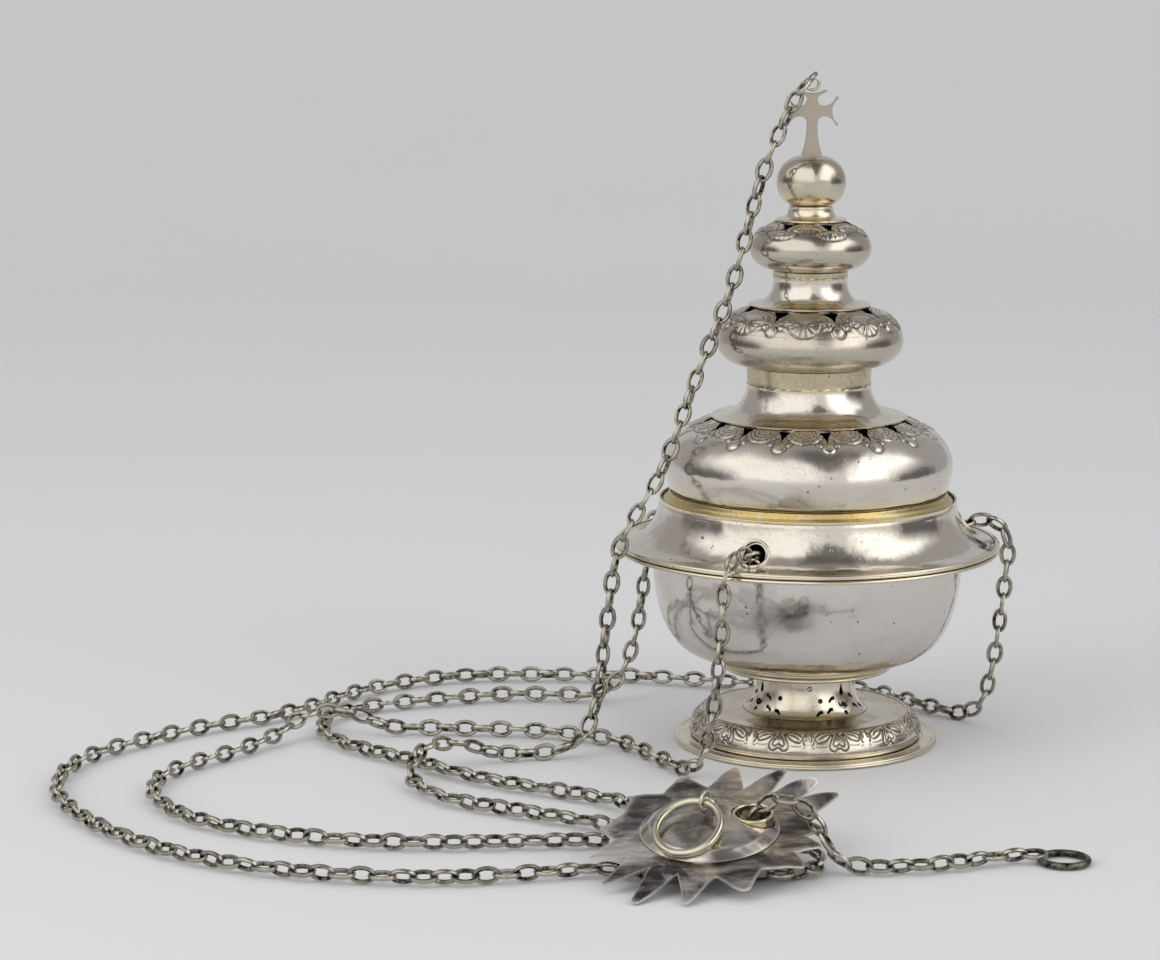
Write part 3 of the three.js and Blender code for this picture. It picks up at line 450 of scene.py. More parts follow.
def chain_finish(name, tint, shade):
    """Oxidised wire: oxide and painted shade inside the links, from a field that the links carry, brighter
    outside, each with its own tone.
    """
    material, nodes, place = new_material(name)
    tone = nodes.field("tone")
    clouds = nodes.noise(place, 330.0, 4.0, 0.6)
    fine = nodes.noise(place, 900.0, 3.0, 0.6)
    facing = nodes.node("ShaderNodeNewGeometry", {}, {}, "Pointiness")
    worn = facing.between(0.5, 0.57) * clouds.between(0.35, 0.6)
    # Painted shade inside each link, over its oxide.
    inside = 1.0 - nodes.field("wear").between(0.76, 1.2)
    dark = (inside * 1.25 + tone * 0.3 + clouds.between(0.38, 0.62) * 0.4 + fine * 0.2 - 0.02).limited(1.0)
    colour = nodes.mixed(dark, rgb(tint), rgb(shade))
    colour = nodes.mixed(worn * 0.5, colour, rgb([min(1.0, 1.5 * c) for c in tint]))
    height = clouds * 0.00008 + fine * 0.000012
    return polished(material, nodes, colour, 0.16 + dark * 0.22, height)


def sheet_finish(name, tint, shade, highlight_colour):
    """Thin tarnished sheet: broad dark clouds, brushed streaks, and a painted highlight along the edges, from
    a field that the pieces carry.
    """
    material, nodes, place = new_material(name)
    clouds = nodes.noise(place, 40.0, 5.0, 0.6, 0.8)
    streaks = nodes.noise(nodes.stretched(place, (50.0, 210.0, 50.0)), 1.0, 5.0, 0.65, 0.6)
    fine = nodes.noise(place, 500.0, 4.0, 0.65)
    edge_highlight = nodes.field("edge_highlight")
    dark = clouds.between(0.37, 0.6) * 0.8 + streaks.between(0.4, 0.66) * 0.34 + fine * 0.12 - 0.02
    dark = dark.limited(1.0)
    colour = nodes.mixed(dark, rgb(tint), rgb(shade))
    # Painted highlight along the edges.
    colour = nodes.mixed((edge_highlight * (0.5 + fine * 0.6)).limited(1.0), colour, rgb(highlight_colour))
    roughness = 0.13 + dark * 0.16 + fine * 0.06
    height = (
        nodes.noise(place, 50.0, 2.0, 0.5, 0.4) * 0.0012
        + streaks * 0.00006
        + nodes.noise(place, 170.0, 2.0, 0.5) * 0.00006
        + fine * 0.000003
    )
    return polished(material, nodes, colour, roughness.limited(1.0), height)


def gilt_finish(name, gold, silver):
    """Gilding worn through to silver in patches, with solder grains."""
    material, nodes, place = new_material(name)
    clouds = nodes.noise(place, 60.0, 5.0, 0.65, 0.6)
    fine = nodes.noise(place, 700.0, 4.0, 0.7)
    worn = (clouds.between(0.42, 0.6) * 0.85 + fine * 0.25).limited(1.0)
    colour = nodes.mixed(worn, rgb(gold), rgb(silver))
    colour = nodes.mixed(fine.between(0.52, 0.7) * 0.6, colour, rgb([0.3 * c for c in gold]))
    height = clouds * 0.0004 + fine * 0.00006
    return polished(material, nodes, colour, 0.2 + fine * 0.2, height)


def iron_finish(name):
    """Fire-blackened sheet with ash caught in it."""
    material, nodes, place = new_material(name)
    clouds = nodes.noise(place, 70.0, 6.0, 0.65)
    fine = nodes.noise(place, 600.0, 4.0, 0.7)
    ash = (clouds * 0.8 + fine * 0.5).between(0.62, 0.82)
    colour = nodes.mixed(ash, rgb(IRON), rgb(ASH))
    height = clouds * 0.0004 + fine * 0.00006
    return polished(material, nodes, colour, 0.5 + ash * 0.35, height, 0.7 - ash * 0.6)


# Profiles and meshes


def quarter(start, end, power, steps, leave):
    """Points of [radius, height] on a quarter of a superellipse that leaves its start flat or upright."""
    angle = np.linspace(0, math.pi / 2, steps + 1)
    fast = np.sin(angle) ** (2 / power)
    slow = 1 - np.cos(angle) ** (2 / power)
    across, up = (fast, slow) if leave == "flat" else (slow, fast)
    return np.column_stack([start[0] + (end[0] - start[0]) * across, start[1] + (end[1] - start[1]) * up])


def joined(*stretches):
    """One line of several stretches, without doubled points."""
    points = np.vstack([np.atleast_2d(np.asarray(s, dtype=float)) for s in stretches])
    keep = np.ones(len(points), bool)
    keep[1:] = np.hypot(*(points[1:] - points[:-1]).T) > 1e-4
    return points[keep]


def lengths(profile):
    """Distance along the profile to each of its points."""
    return np.concatenate([[0], np.cumsum(np.hypot(*np.diff(profile, axis=0).T))])


def resampled(profile, stations):
    """The profile at the given distances along it."""
    gone = lengths(profile)
    return np.column_stack([np.interp(stations, gone, profile[:, k]) for k in (0, 1)])


def evenly(profile, count):
    """The profile as so many points at even distances."""
    return resampled(profile, np.linspace(0, lengths(profile)[-1], count))


def outward(profile):
    """The normals of a profile, which point away from the axis where it climbs."""
    along = np.gradient(profile, axis=0)
    along /= np.maximum(np.hypot(*along.T), 1e-9)[:, None]
    return np.column_stack([along[:, 1], -along[:, 0]])


def softened(points, radius, steps=3):
    """A closed profile with its corners rounded."""
    points = np.asarray(points, dtype=float)
    made = []
    for i, corner in enumerate(points):
        before, after = points[i - 1], points[(i + 1) % len(points)]
        a = corner + (before - corner) * min(0.45, radius / max(np.hypot(*(before - corner)), 1e-9))
        b = corner + (after - corner) * min(0.45, radius / max(np.hypot(*(after - corner)), 1e-9))
        for t in np.linspace(0, 1, steps + 1):
            made.append(a * (1 - t) ** 2 + corner * 2 * t * (1 - t) + b * t ** 2)
    return np.array(made)


def carry(mesh, field, values):
    """Gives a mesh a value at each of its points, which its material reads."""
    layer = mesh.attributes.new(field, "FLOAT", "POINT")
    layer.data.foreach_set("value", np.asarray(values, dtype=np.float32).ravel())


def shown(name, data):
    """A new object in the scene."""
    piece = bpy.data.objects.new(name, data)
    bpy.context.scene.collection.objects.link(piece)
    return piece


def flat_mesh(name, points, quads, tris, fields):
    """A mesh from arrays of points in metres, four-sided and three-sided faces, and values at the points."""
    mesh = bpy.data.meshes.new(name)
    loops = np.concatenate([np.ravel(quads), np.ravel(tris)]).astype(np.int32)
    sizes = np.concatenate([np.full(len(quads), 4), np.full(len(tris), 3)])
    starts = np.concatenate([[0], np.cumsum(sizes)[:-1]]).astype(np.int32)
    mesh.vertices.add(len(points))
    mesh.vertices.foreach_set("co", np.asarray(points, dtype=np.float32).ravel())
    mesh.loops.add(len(loops))
    mesh.loops.foreach_set("vertex_index", loops)
    mesh.polygons.add(len(sizes))
    mesh.polygons.foreach_set("loop_start", starts)
    mesh.update(calc_edges=True)
    for field, values in fields.items():
        carry(mesh, field, values)
    return mesh


def strip_quads(below, above):
    """Four-sided faces between two runs of closed rings of point numbers."""
    corners = below, np.roll(below, -1, axis=-1), np.roll(above, -1, axis=-1), above
    return np.stack(corners, axis=-1).reshape(-1, 4)


def turned(name, profile, columns, relief=None, fields=None, closed=True, start=0.0):
    """Turns a profile in millimetres about the vessel's axis.

    relief lifts each point along the profile's normal. A profile that isn't closed has both its ends on
    the axis. start is the turn of the first column, in degrees.
    """
    rows = len(profile)
    turn = np.radians(start) + np.linspace(0, 2 * math.pi, columns, endpoint=False)
    normal = outward(profile)
    lift = np.zeros((rows, columns)) if relief is None else relief
    radius = profile[:, :1] + normal[:, :1] * lift
    height = profile[:, 1:] + normal[:, 1:] * lift
    grid = np.stack([radius * np.sin(turn), -radius * np.cos(turn), height], axis=-1)
    index = np.arange(rows * columns).reshape(rows, columns)
    tris = []
    first, last = 0, rows - 1
    if not closed and profile[0, 0] < 1e-6:
        ring = index[1]
        tris += [(index[0, 0], b, a) for a, b in zip(ring, np.roll(ring, -1))]
        first = 1
    if not closed and profile[-1, 0] < 1e-6:
        ring = index[rows - 2]
        tris += [(a, b, index[rows - 1, 0]) for a, b in zip(ring, np.roll(ring, -1))]
        last = rows - 2
    below = index if closed else index[first:last]
    above = np.roll(index, -1, axis=0) if closed else index[first + 1:last + 1]
    quads = strip_quads(below, above)
    points = grid.reshape(-1, 3) * MM + np.array(AXIS)
    tris = np.array(tris, dtype=np.int64).reshape(-1, 3)
    used = np.unique(np.concatenate([quads.ravel(), tris.ravel()]))
    renumber = np.zeros(rows * columns, dtype=np.int64)
    renumber[used] = np.arange(len(used))
    values = {
        field: np.broadcast_to(np.asarray(value, dtype=float), (rows, columns)).ravel()[used]
        for field, value in (fields or {}).items()
    }
    return flat_mesh(name, points[used], renumber[quads], renumber[tris], values)


def walled(outer, wall, every=3):
    """A closed profile: the outer points, then the inner wall's, fewer of them, on the way back."""
    inner = outer - outward(outer) * wall
    picked = sorted(set(range(0, len(inner), every)) | {len(inner) - 1})
    return np.vstack([outer, inner[picked][::-1]]), len(picked)


def on_wall(values, extra, inner=0.0):
    """Values for the outer rows, then the same one for the inner wall's extra rows."""
    values = values if values.ndim == 2 else values[:, None]
    return np.vstack([values, np.full((extra, values.shape[1]), inner)])


def swept(name, route, radius, sides, closed, fields=None):
    """A wire of the given radius along a route of vectors in metres."""
    points = np.array([tuple(p) for p in route])
    count = len(points)
    if closed:
        along = np.roll(points, -1, axis=0) - np.roll(points, 1, axis=0)
    else:
        along = np.gradient(points, axis=0)
    along /= np.linalg.norm(along, axis=1)[:, None]
    side = np.zeros_like(points)
    guess = np.cross(along[0], (0.31, 0.17, 0.94))
    for i in range(count):
        guess = guess - along[i] * guess.dot(along[i])
        guess /= np.linalg.norm(guess)
        side[i] = guess
    if closed:
        other = np.cross(along, side)
        drift = math.atan2(np.dot(side[0], np.cross(along[-1], side[-1])), np.dot(side[0], side[-1]))
        turn = (np.arange(count) / count * drift)[:, None]
        side = side * np.cos(turn) + other * np.sin(turn)
    other = np.cross(along, side)
    angle = np.linspace(0, 2 * math.pi, sides, endpoint=False)
    ring = side[:, None, :] * np.cos(angle)[None, :, None] + other[:, None, :] * np.sin(angle)[None, :, None]
    grid = points[:, None, :] + ring * radius
    index = np.arange(count * sides).reshape(count, sides)
    below = index if closed else index[:-1]
    above = np.roll(index, -1, axis=0) if closed else index[1:]
    quads = strip_quads(below, above)
    grid = grid.reshape(-1, 3)
    tris = []
    if not closed:
        grid = np.vstack([grid, points[:1], points[-1:]])
        start, end = count * sides, count * sides + 1
        tris += [(start, b, a) for a, b in zip(index[0], np.roll(index[0], -1))]
        tris += [(end, a, b) for a, b in zip(index[-1], np.roll(index[-1], -1))]
    return flat_mesh(name, grid, quads, np.array(tris, dtype=np.int64).reshape(-1, 3), fields or {})


def as_piece(name, mesh, material, body, nodes, edge=38.0):
    """Gives a mesh its material, its body and the nodes that it stands for."""
    mesh.shade_smooth()
    mesh.set_sharp_from_angle(angle=math.radians(edge))
    mesh.materials.clear()
    mesh.materials.append(material)
    piece = shown(name, mesh)
    if body:
        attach(piece, body)
    if nodes:
        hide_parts(*nodes)
    return piece


def wire_piece(node, name, route, wire, sides, closed, material, body, fields=None):
    """A wire along a route of vectors in metres. wire is its radius in millimetres."""
    mesh = swept(f"{node}_mesh", route, wire * MM, sides, closed, fields)
    return as_piece(name, mesh, material, body, [node])


def faced_out(mesh):
    """The mesh with its faces turned outward."""
    work = bmesh.new()
    work.from_mesh(mesh)
    bmesh.ops.recalc_face_normals(work, faces=work.faces)
    work.to_mesh(mesh)
    work.free()
    return mesh


def pierced(mesh, cutters):
    """The mesh with the cutter meshes taken out of it."""
    piece, tool = shown("pierced", mesh), shown("cutters", merged("cutters", cutters))
    cut = piece.modifiers.new("openings", "BOOLEAN")
    cut.operation = "DIFFERENCE"
    cut.solver = "MANIFOLD"
    cut.object = tool
    graph = bpy.context.evaluated_depsgraph_get()
    result = bpy.data.meshes.new_from_object(piece.evaluated_get(graph))
    for item in (piece, tool):
        bpy.data.objects.remove(item)
    return result


def merged(name, meshes):
    """One mesh of several."""
    work = bmesh.new()
    for mesh in meshes:
        work.from_mesh(mesh)
    made = bpy.data.meshes.new(name)
    work.to_mesh(made)
    work.free()
    return made


def prism(outline, low, high, matrix):
    """A closed prism of a flat outline in millimetres between two heights, placed by the matrix."""
    turns = sum(x0 * y1 - x1 * y0 for (x0, y0), (x1, y1) in zip(outline, [*outline[1:], outline[0]]))
    outline = list(outline) if turns > 0 else list(reversed(outline))
    points = [Vector((x, y, z)) for z in (low, high) for x, y in outline]
    count = len(outline)
    faces = [tuple(reversed(range(count))), tuple(range(count, 2 * count))]
    faces += [(i, (i + 1) % count, count + (i + 1) % count, count + i) for i in range(count)]
    mesh = bpy.data.meshes.new("prism")
    mesh.from_pydata([tuple(matrix @ p) for p in points], [], faces)
    # Faces that a prism cuts into a piece keep this value: soot and painted shade on the openings' walls.
    carry(mesh, "soot_and_shade", np.full(len(points), 0.9))
    return mesh


def vessel_place(x, y, z):
    """From millimetres about the vessel's axis to the row frame."""
    return Vector((x, y, z)) * MM + AXIS


def vessel_matrix(turn=0.0, offset=(0, 0, 0)):
    """The same as a matrix, turned from the front toward +X and then moved by the offset."""
    spin = Matrix.Rotation(math.radians(turn), 4, "Z")
    return Matrix.Translation(AXIS) @ Matrix.Scale(MM, 4) @ spin @ Matrix.Translation(offset)


# Chasing


def bow(a, b, c, steps=9):
    """A curve from a to c that is drawn toward b."""
    t = np.linspace(0, 1, steps)[:, None]
    a, b, c = (np.array(p, dtype=float) for p in (a, b, c))
    return a * (1 - t) ** 2 + 2 * b * t * (1 - t) + c * t ** 2


def oval(centre, size, low=0.0, high=360.0, steps=20):
    """Points on an oval, or on the stretch of it between two angles in degrees."""
    angle = np.radians(np.linspace(low, high, steps))
    return np.column_stack([centre[0] + size[0] * np.cos(angle), centre[1] + size[1] * np.sin(angle)])


def both_sides(lines):
    """The lines and their mirror images."""
    return [np.array(line, dtype=float) * (side, 1) for line in lines for side in (1, -1)]


def nearness(u, v, lines):
    """Distance in millimetres from each point to the nearest chased line."""
    best = np.full(u.shape, 99.0)
    for line in lines:
        for (x0, y0), (x1, y1) in zip(line, line[1:]):
            dx, dy = x1 - x0, y1 - y0
            t = np.clip(((u - x0) * dx + (v - y0) * dy) / max(dx * dx + dy * dy, 1e-9), 0, 1)
            best = np.minimum(best, np.hypot(u - x0 - t * dx, v - y0 - t * dy))
    return best


def mark(distance, width):
    """1 on a line, fading away from it over the width."""
    return np.exp(-(distance / width) ** 2)


def cushion(u, v, centre, size, tilt=0.0):
    """1 at the middle of an oval, falling round to 0 at its edge."""
    c, s = math.cos(math.radians(tilt)), math.sin(math.radians(tilt))
    du, dv = u - centre[0], v - centre[1]
    q = ((du * c + dv * s) / size[0]) ** 2 + ((dv * c - du * s) / size[1]) ** 2
    return np.sqrt(np.clip(1 - q, 0, None))


def steady(x, low, high):
    """0 below low, 1 above high, smooth between them."""
    t = np.clip((x - low) / (high - low), 0, 1)
    return t * t * (3 - 2 * t)


def dome_chasing(u, v, half):
    """Leaves of nested curves between the vents, and a ringed berry under each vent."""
    w = half - np.abs(u)
    leaf = cushion(u, v, (0, 0.5), (7.6, 8.6))
    rims = [oval((0, 0.4), (7.5 * k, 8.6 * k), 0, 180) for k in (1.0, 0.76, 0.54, 0.33)]
    veins = both_sides([
        bow((2.2, 1.0), (4.6, 3.0), (5.6, 5.0)), bow((0.6, 3.2), (2.8, 4.8), (3.4, 7.0)),
        bow((4.2, 0.8), (5.8, 1.8), (6.8, 2.8)), bow((0, 4.5), (0.6, 6.0), (0.2, 8.2)),
    ])
    cut = mark(nearness(u, v, rims), 0.34)
    fine = mark(nearness(u, v, veins), 0.26)
    berry = cushion(w, v, (0, 11.2), (2.3, 2.3))
    ring = mark(np.hypot(w, v - 11.2) - 2.85, 0.36) * steady(v, 9.2, 10.2)
    bead = cushion(w, v, (3.5, 9.2), (1.15, 1.15))
    bead_ring = mark(np.hypot(w - 3.5, v - 9.2) - 1.4, 0.25)
    curls = [bow((0.3, 6.6), (0.8, 8.4), (2.3, 8.3)), bow((2.3, 8.3), (3.0, 7.2), (2.6, 5.2))]
    curl = mark(nearness(w, v, curls), 0.34)
    field = (1 - steady(leaf, 0.0, 0.3)) * (1 - steady(v, 8.2, 9.4)) * steady(v, 0.0, 0.6)
    relief = (
        0.55 * leaf ** 1.3 - 0.34 * cut - 0.17 * fine + 0.5 * berry - 0.26 * ring
        + 0.3 * bead - 0.16 * bead_ring - 0.24 * curl - 0.22 * field
    )
    hollow = 0.6 * cut + 0.35 * fine + 0.85 * ring + 0.6 * bead_ring + 0.5 * curl + 0.22 * field
    return relief, np.clip(hollow, 0, 1)


def second_chasing(u, v, half):
    """An arch, two leaves and a fluted shell between the vents, berries under them and a dotted border."""
    w = half - np.abs(u)
    arch = cushion(u, v, (0, 6.6), (11.2, 6.4))
    arch_lines = [oval((0, 6.6), (11.2 * k, 6.3 * k), 186, 354) for k in (1.0, 0.78, 0.56)]
    leaf = np.maximum(cushion(u, v, (4.9, 7.6), (4.4, 1.9), -14), cushion(u, v, (-4.9, 7.6), (4.4, 1.9), 14))
    leaf_lines = both_sides([
        bow((0.8, 9.0), (3.6, 5.0), (9.2, 6.6)), bow((0.8, 9.0), (5.6, 10.0), (9.2, 6.6)),
        bow((1.4, 8.6), (4.4, 7.0), (7.6, 7.0)),
    ])
    ribbon = both_sides([
        bow((9.8, 5.6), (10.8, 8.2), (9.0, 9.4)), bow((9.0, 9.4), (7.6, 8.4), (6.6, 9.8)),
    ])
    away = np.hypot(u, v - 8.2)
    spread = np.degrees(np.arctan2(u, v - 8.2))
    fan = steady(away, 0.6, 1.6) * (1 - steady(away, 6.0, 6.5)) * (1 - steady(np.abs(spread), 76, 86))
    flutes = np.cos(np.radians(spread) * 13)
    fan_edge = mark(away - 6.4, 0.36) * (1 - steady(np.abs(spread), 80, 92))
    berry = cushion(w, v, (0, 11.8), (2.3, 2.5))
    berry_ring = mark(np.hypot(w, (v - 11.8) / 1.08) - 2.65, 0.3)
    bead = cushion(w, v, (3.4, 9.8), (1.35, 1.3))
    bead_ring = mark(np.hypot(w - 3.4, v - 9.8) - 1.6, 0.26)
    dots = mark(v - 14.2, 0.28) * (0.5 + 0.5 * np.cos(u * 2 * math.pi / 0.9))
    cut = mark(nearness(u, v, arch_lines), 0.36)
    fine = mark(nearness(u, v, leaf_lines), 0.32)
    trail = mark(nearness(u, v, ribbon), 0.4)
    field = (1 - np.clip(arch * 3 + leaf * 3 + fan + berry * 3 + bead * 3, 0, 1)) * steady(v, 0.2, 1.0)
    field = field * (1 - steady(v, 10.5, 12.5))
    relief = (
        0.35 * arch - 0.26 * cut + 0.42 * leaf - 0.3 * fine - 0.24 * trail
        + fan * (0.28 + 0.17 * flutes * steady(away, 1.2, 3.0)) - 0.26 * fan_edge
        + 0.62 * berry - 0.24 * berry_ring + 0.4 * bead - 0.18 * bead_ring - 0.1 * dots - 0.2 * field
    )
    hollow = (
        0.75 * cut + 0.7 * fine + 0.55 * trail + 0.7 * fan_edge + fan * 0.3 * (1 - flutes) * 0.5
        + 0.6 * berry_ring + 0.5 * bead_ring + 0.5 * dots + 0.45 * field
    )
    return relief, np.clip(hollow, 0, 1)


def third_chasing(u, v, half):
    """Arched lobes between the vents with a curled tendril in each, and scallops under the vents."""
    w = half - np.abs(u)
    lobe = cushion(u, v, (0, 4.4), (8.0, 5.4)) * (1 - steady(v, 4.2, 5.6))
    rims = [oval((0, 4.6), (8.3 * k, 5.2 * k), 180, 360) for k in (1.0, 0.7)]
    curls = both_sides([
        bow((0.3, 5.2), (1.0, 2.6), (2.4, 3.4)), bow((2.4, 3.4), (3.2, 4.4), (2.0, 4.8)),
        bow((0.0, 6.4), (2.6, 7.0), (4.2, 5.4)), bow((4.2, 5.4), (6.0, 4.6), (7.4, 5.2)),
    ])
    swag = mark(nearness(w, v, [bow((0, 10.0), (5.2, 10.0), (7.6, 6.4))]), 0.36)
    shells = cushion(w, v, (0, 7.6), (7.0, 2.3)) + cushion(w, v, (0.0, 6.0), (1.5, 1.5))
    rays = [bow((k, 5.8), (k * 1.15, 7.6), (k * 1.3, 9.4)) for k in (0.0, 1.9, 3.8)]
    flutes = mark(nearness(w, v, rays), 0.26)
    cut = mark(nearness(u, v, rims), 0.34) + 0.8 * mark(nearness(u, v, curls), 0.3)
    relief = 0.42 * lobe + 0.34 * shells - 0.32 * cut - 0.3 * swag - 0.16 * flutes
    field = (1 - np.clip(lobe * 4 + shells * 4, 0, 1)) * (1 - steady(v, 8.0, 9.4))
    return relief, np.clip(0.8 * cut + 0.75 * swag + 0.35 * flutes + 0.4 * field, 0, 1)


def band_chasing(u, v, half):
    """Lilies with a punched dot at each shoulder, and two curled leaves between each pair."""
    w = half - np.abs(u)
    reach = half.min()
    lily = both_sides([
        bow((1.7, 2.6), (2.6, 4.0), (3.6, 6.2)), bow((3.6, 6.2), (4.3, 8.6), (2.7, 9.2)),
        bow((2.7, 9.2), (1.4, 9.5), (0.9, 8.5)), bow((0.9, 8.5), (0.5, 7.7), (0.0, 8.3)),
        bow((0.9, 3.2), (2.0, 5.0), (2.3, 6.4)), bow((2.3, 6.4), (2.4, 7.6), (1.3, 7.4)),
        bow((1.3, 7.4), (0.5, 7.0), (0.0, 6.2)), bow((0.0, 1.4), (0.5, 2.6), (0.4, 4.4)),
    ])
    leaves = both_sides([
        bow((2.4, 1.3), (5.6, 0.8), (8.6, 3.0)), bow((2.4, 1.9), (4.0, 5.2), (8.0, 5.8)),
        bow((8.6, 3.0), (9.2, 4.4), (8.0, 5.8)), bow((3.6, 2.4), (5.8, 2.4), (7.6, 4.4)),
        bow((9.6, 1.4), (10.4, 3.6), (reach, 4.6)), bow((9.3, 2.6), (9.2, 5.4), (10.2, 6.6)),
    ])
    ticks = both_sides([bow((4.6, 7.0), (6.4, 7.6), (8.8, 7.2)), bow((9.6, 8.0), (10.4, 7.4), (reach, 7.8))])
    dots = mark(np.hypot(np.abs(u) - 2.0, v - 2.1), 0.6)
    petal = cushion(np.abs(u), v, (2.6, 6.9), (1.5, 2.5), -12)
    blade = cushion(np.abs(u), v, (5.6, 3.0), (3.4, 1.7), 22)
    cut = mark(nearness(u, v, lily), 0.3)
    fine = mark(nearness(u, v, leaves), 0.28) + 0.5 * mark(nearness(u, v, ticks), 0.24)
    border = mark(v - 10.4, 0.3) + mark(v - 0.4, 0.35)
    grains = 0.5 + 0.5 * np.cos(u * 2 * math.pi / 0.75)
    relief = 0.3 * petal + 0.22 * blade - 0.34 * cut - 0.3 * fine - 0.5 * dots
    relief = relief - 0.16 * border * (0.6 + 0.4 * grains)
    hollow = 1.5 * cut + 1.3 * fine + 1.5 * dots + 0.6 * border + 0.12 * steady(w, 0, 1)
    return relief, np.clip(hollow, 0, 1)


def chased(profile, top, sectors, per_sector, chasing, phase, share=0.85):
    """Relief and hollow values for a whole turned wall, the pattern worked out once and repeated.

    top is the distance along the profile where the pattern starts, and it runs down from there. phase is
    the turn of the first repeat's middle, in degrees.
    """
    down = (top - lengths(profile))[:, None]
    angle = np.linspace(-math.pi / sectors, math.pi / sectors, per_sector, endpoint=False)[None, :]
    radius = profile[:, :1]
    u = radius * angle
    v = down + 0 * u
    half = radius * math.pi / sectors + 0 * u
    # hollow darkens the chased lines and the matted ground: tarnish and painted shade.
    relief, hollow = chasing(u, v, half)
    inside = steady(v, -0.3, 0.3)
    relief, hollow = relief * inside * share, hollow * inside
    start = phase - 180 / sectors
    return np.tile(relief, (1, sectors)), np.tile(hollow, (1, sectors)), start


def ledge_distance(profile, radius):
    """Distance along a dome's profile, on its upper part, to where the ledge above it rests."""
    widest = int(np.argmax(profile[:, 0]))
    upper = profile[widest:]
    at = widest + int(np.argmin(np.abs(upper[:, 0] - radius)))
    return lengths(profile)[at]


def waves(columns, rows, seed, size):
    """Slow uneven lift of a hand-raised wall, the same at the seam, in millimetres."""
    source = np.random.default_rng(seed)
    turn = np.linspace(0, 2 * math.pi, columns, endpoint=False)[None, :]
    climb = np.linspace(0, 1, rows)[:, None]
    lift = np.zeros((rows, columns))
    for order in (2, 3, 5, 7, 11):
        phase, tilt = source.uniform(0, 2 * math.pi, 2)
        share = source.uniform(0.4, 1.0)
        lift += np.cos(order * turn + phase + climb * 3 * math.sin(tilt)) * share / order ** 0.5
    return lift * size


# The foot and the bowl


def plain_ring(
    node, name, outline, radius, columns, material, body, warm, lift=0, seed=1
):
    """A turned ring of a closed outline with its corners rounded. lift makes it uneven, in millimetres."""
    profile = softened(outline, radius)
    relief = waves(columns, len(profile), seed, lift) if lift else None
    mesh = turned(f"{name}_mesh", profile, columns, relief, {"warm": warm})
    return as_piece(name, mesh, material, body, [node])


def foot_flange(material):
    edge = FOOT_RADIUS
    outline = [
        (FLANGE_BORE, 0.0), (edge - 0.7, 0.0), (edge, 0.5), (edge, 1.1), (edge - 0.35, 1.35), (edge, 1.6),
        (edge - 0.3, 2.2), (edge - 1.3, 2.3), (edge - 1.9, 1.75), (BAND_RADIUS + 0.9, 1.75),
        (BAND_RADIUS + 0.4, 2.2), (FLANGE_BORE, 2.2),
    ]
    return plain_ring("foot_flange", "turned_foot_flange", outline, 0.3, 256, material, "stand", 0.32)


def foot_band(material):
    shoulder = (BAND_RADIUS, BAND_BOTTOM + 1.6)
    rise = quarter(shoulder, (BAND_TOP_RADIUS, BAND_TOP), 1.8, 60, "upright")
    whole = joined([(BAND_RADIUS - 0.7, BAND_BOTTOM)], [shoulder], rise)
    total = lengths(whole)[-1]
    count = 54
    outer = evenly(whole, count)
    flowers, per_flower = 12, 90
    columns = flowers * per_flower
    relief, hollow, start = chased(outer, total - 0.5, flowers, per_flower, band_chasing, phase=13.0)
    profile, extra = walled(outer, BAND_WALL, 8)
    row = np.arange(count)[:, None]
    fade = steady(row, 0, 3) * (1 - steady(row, count - 4, count - 1))
    relief = on_wall((relief + 0.05 * waves(columns, count, 4, 1.0)) * fade, extra)
    fields = {"hollow": on_wall(hollow, extra), "warm": 0.32}
    mesh = turned("foot_band_mesh", profile, columns, relief, fields, start=start)
    return as_piece("chased_foot_band", mesh, material, "stand", ["foot_band"])


def foot_disc(material):
    """A dished disc whose lip rises to meet the stem's flare."""
    edge, high = DISC_RADIUS, DISC_TOP
    middle = (edge + STEM_RADIUS) / 2
    top = [
        (edge + 0.8, high - 0.25), (edge - 2, high - 0.8), (middle, high - 1.1),
        (STEM_RADIUS + 1.6, high - 0.2), (STEM_RADIUS + 0.12, high + 0.2), (STEM_RADIUS + 0.05, high),
        (DISC_BORE, high),
    ]
    under = [(r, z - DISC_WALL) for r, z in reversed(top)]
    profile = softened([*top, *under], 0.4)[::-1]
    mesh = turned("foot_disc_mesh", profile, 192, waves(192, len(profile), 7, 0.05), {"warm": 0.25})
    return as_piece("dished_foot_disc", mesh, material, "stand", ["foot_disc"])


def wall_matrix(line, turn, height):
    """Stands on a turned wall at a height, its Z out of the wall and its Y up along it."""
    at = int(np.clip(np.argmin(np.abs(line[:, 1] - height)), 4, len(line) - 5))
    along = line[at + 4] - line[at - 4]
    tilt = math.degrees(math.atan2(-along[0], along[1]))
    place = vessel_matrix(turn, (0, -line[at, 0], line[at, 1]))
    return place @ Matrix.Rotation(math.radians(90 - tilt), 4, "X")


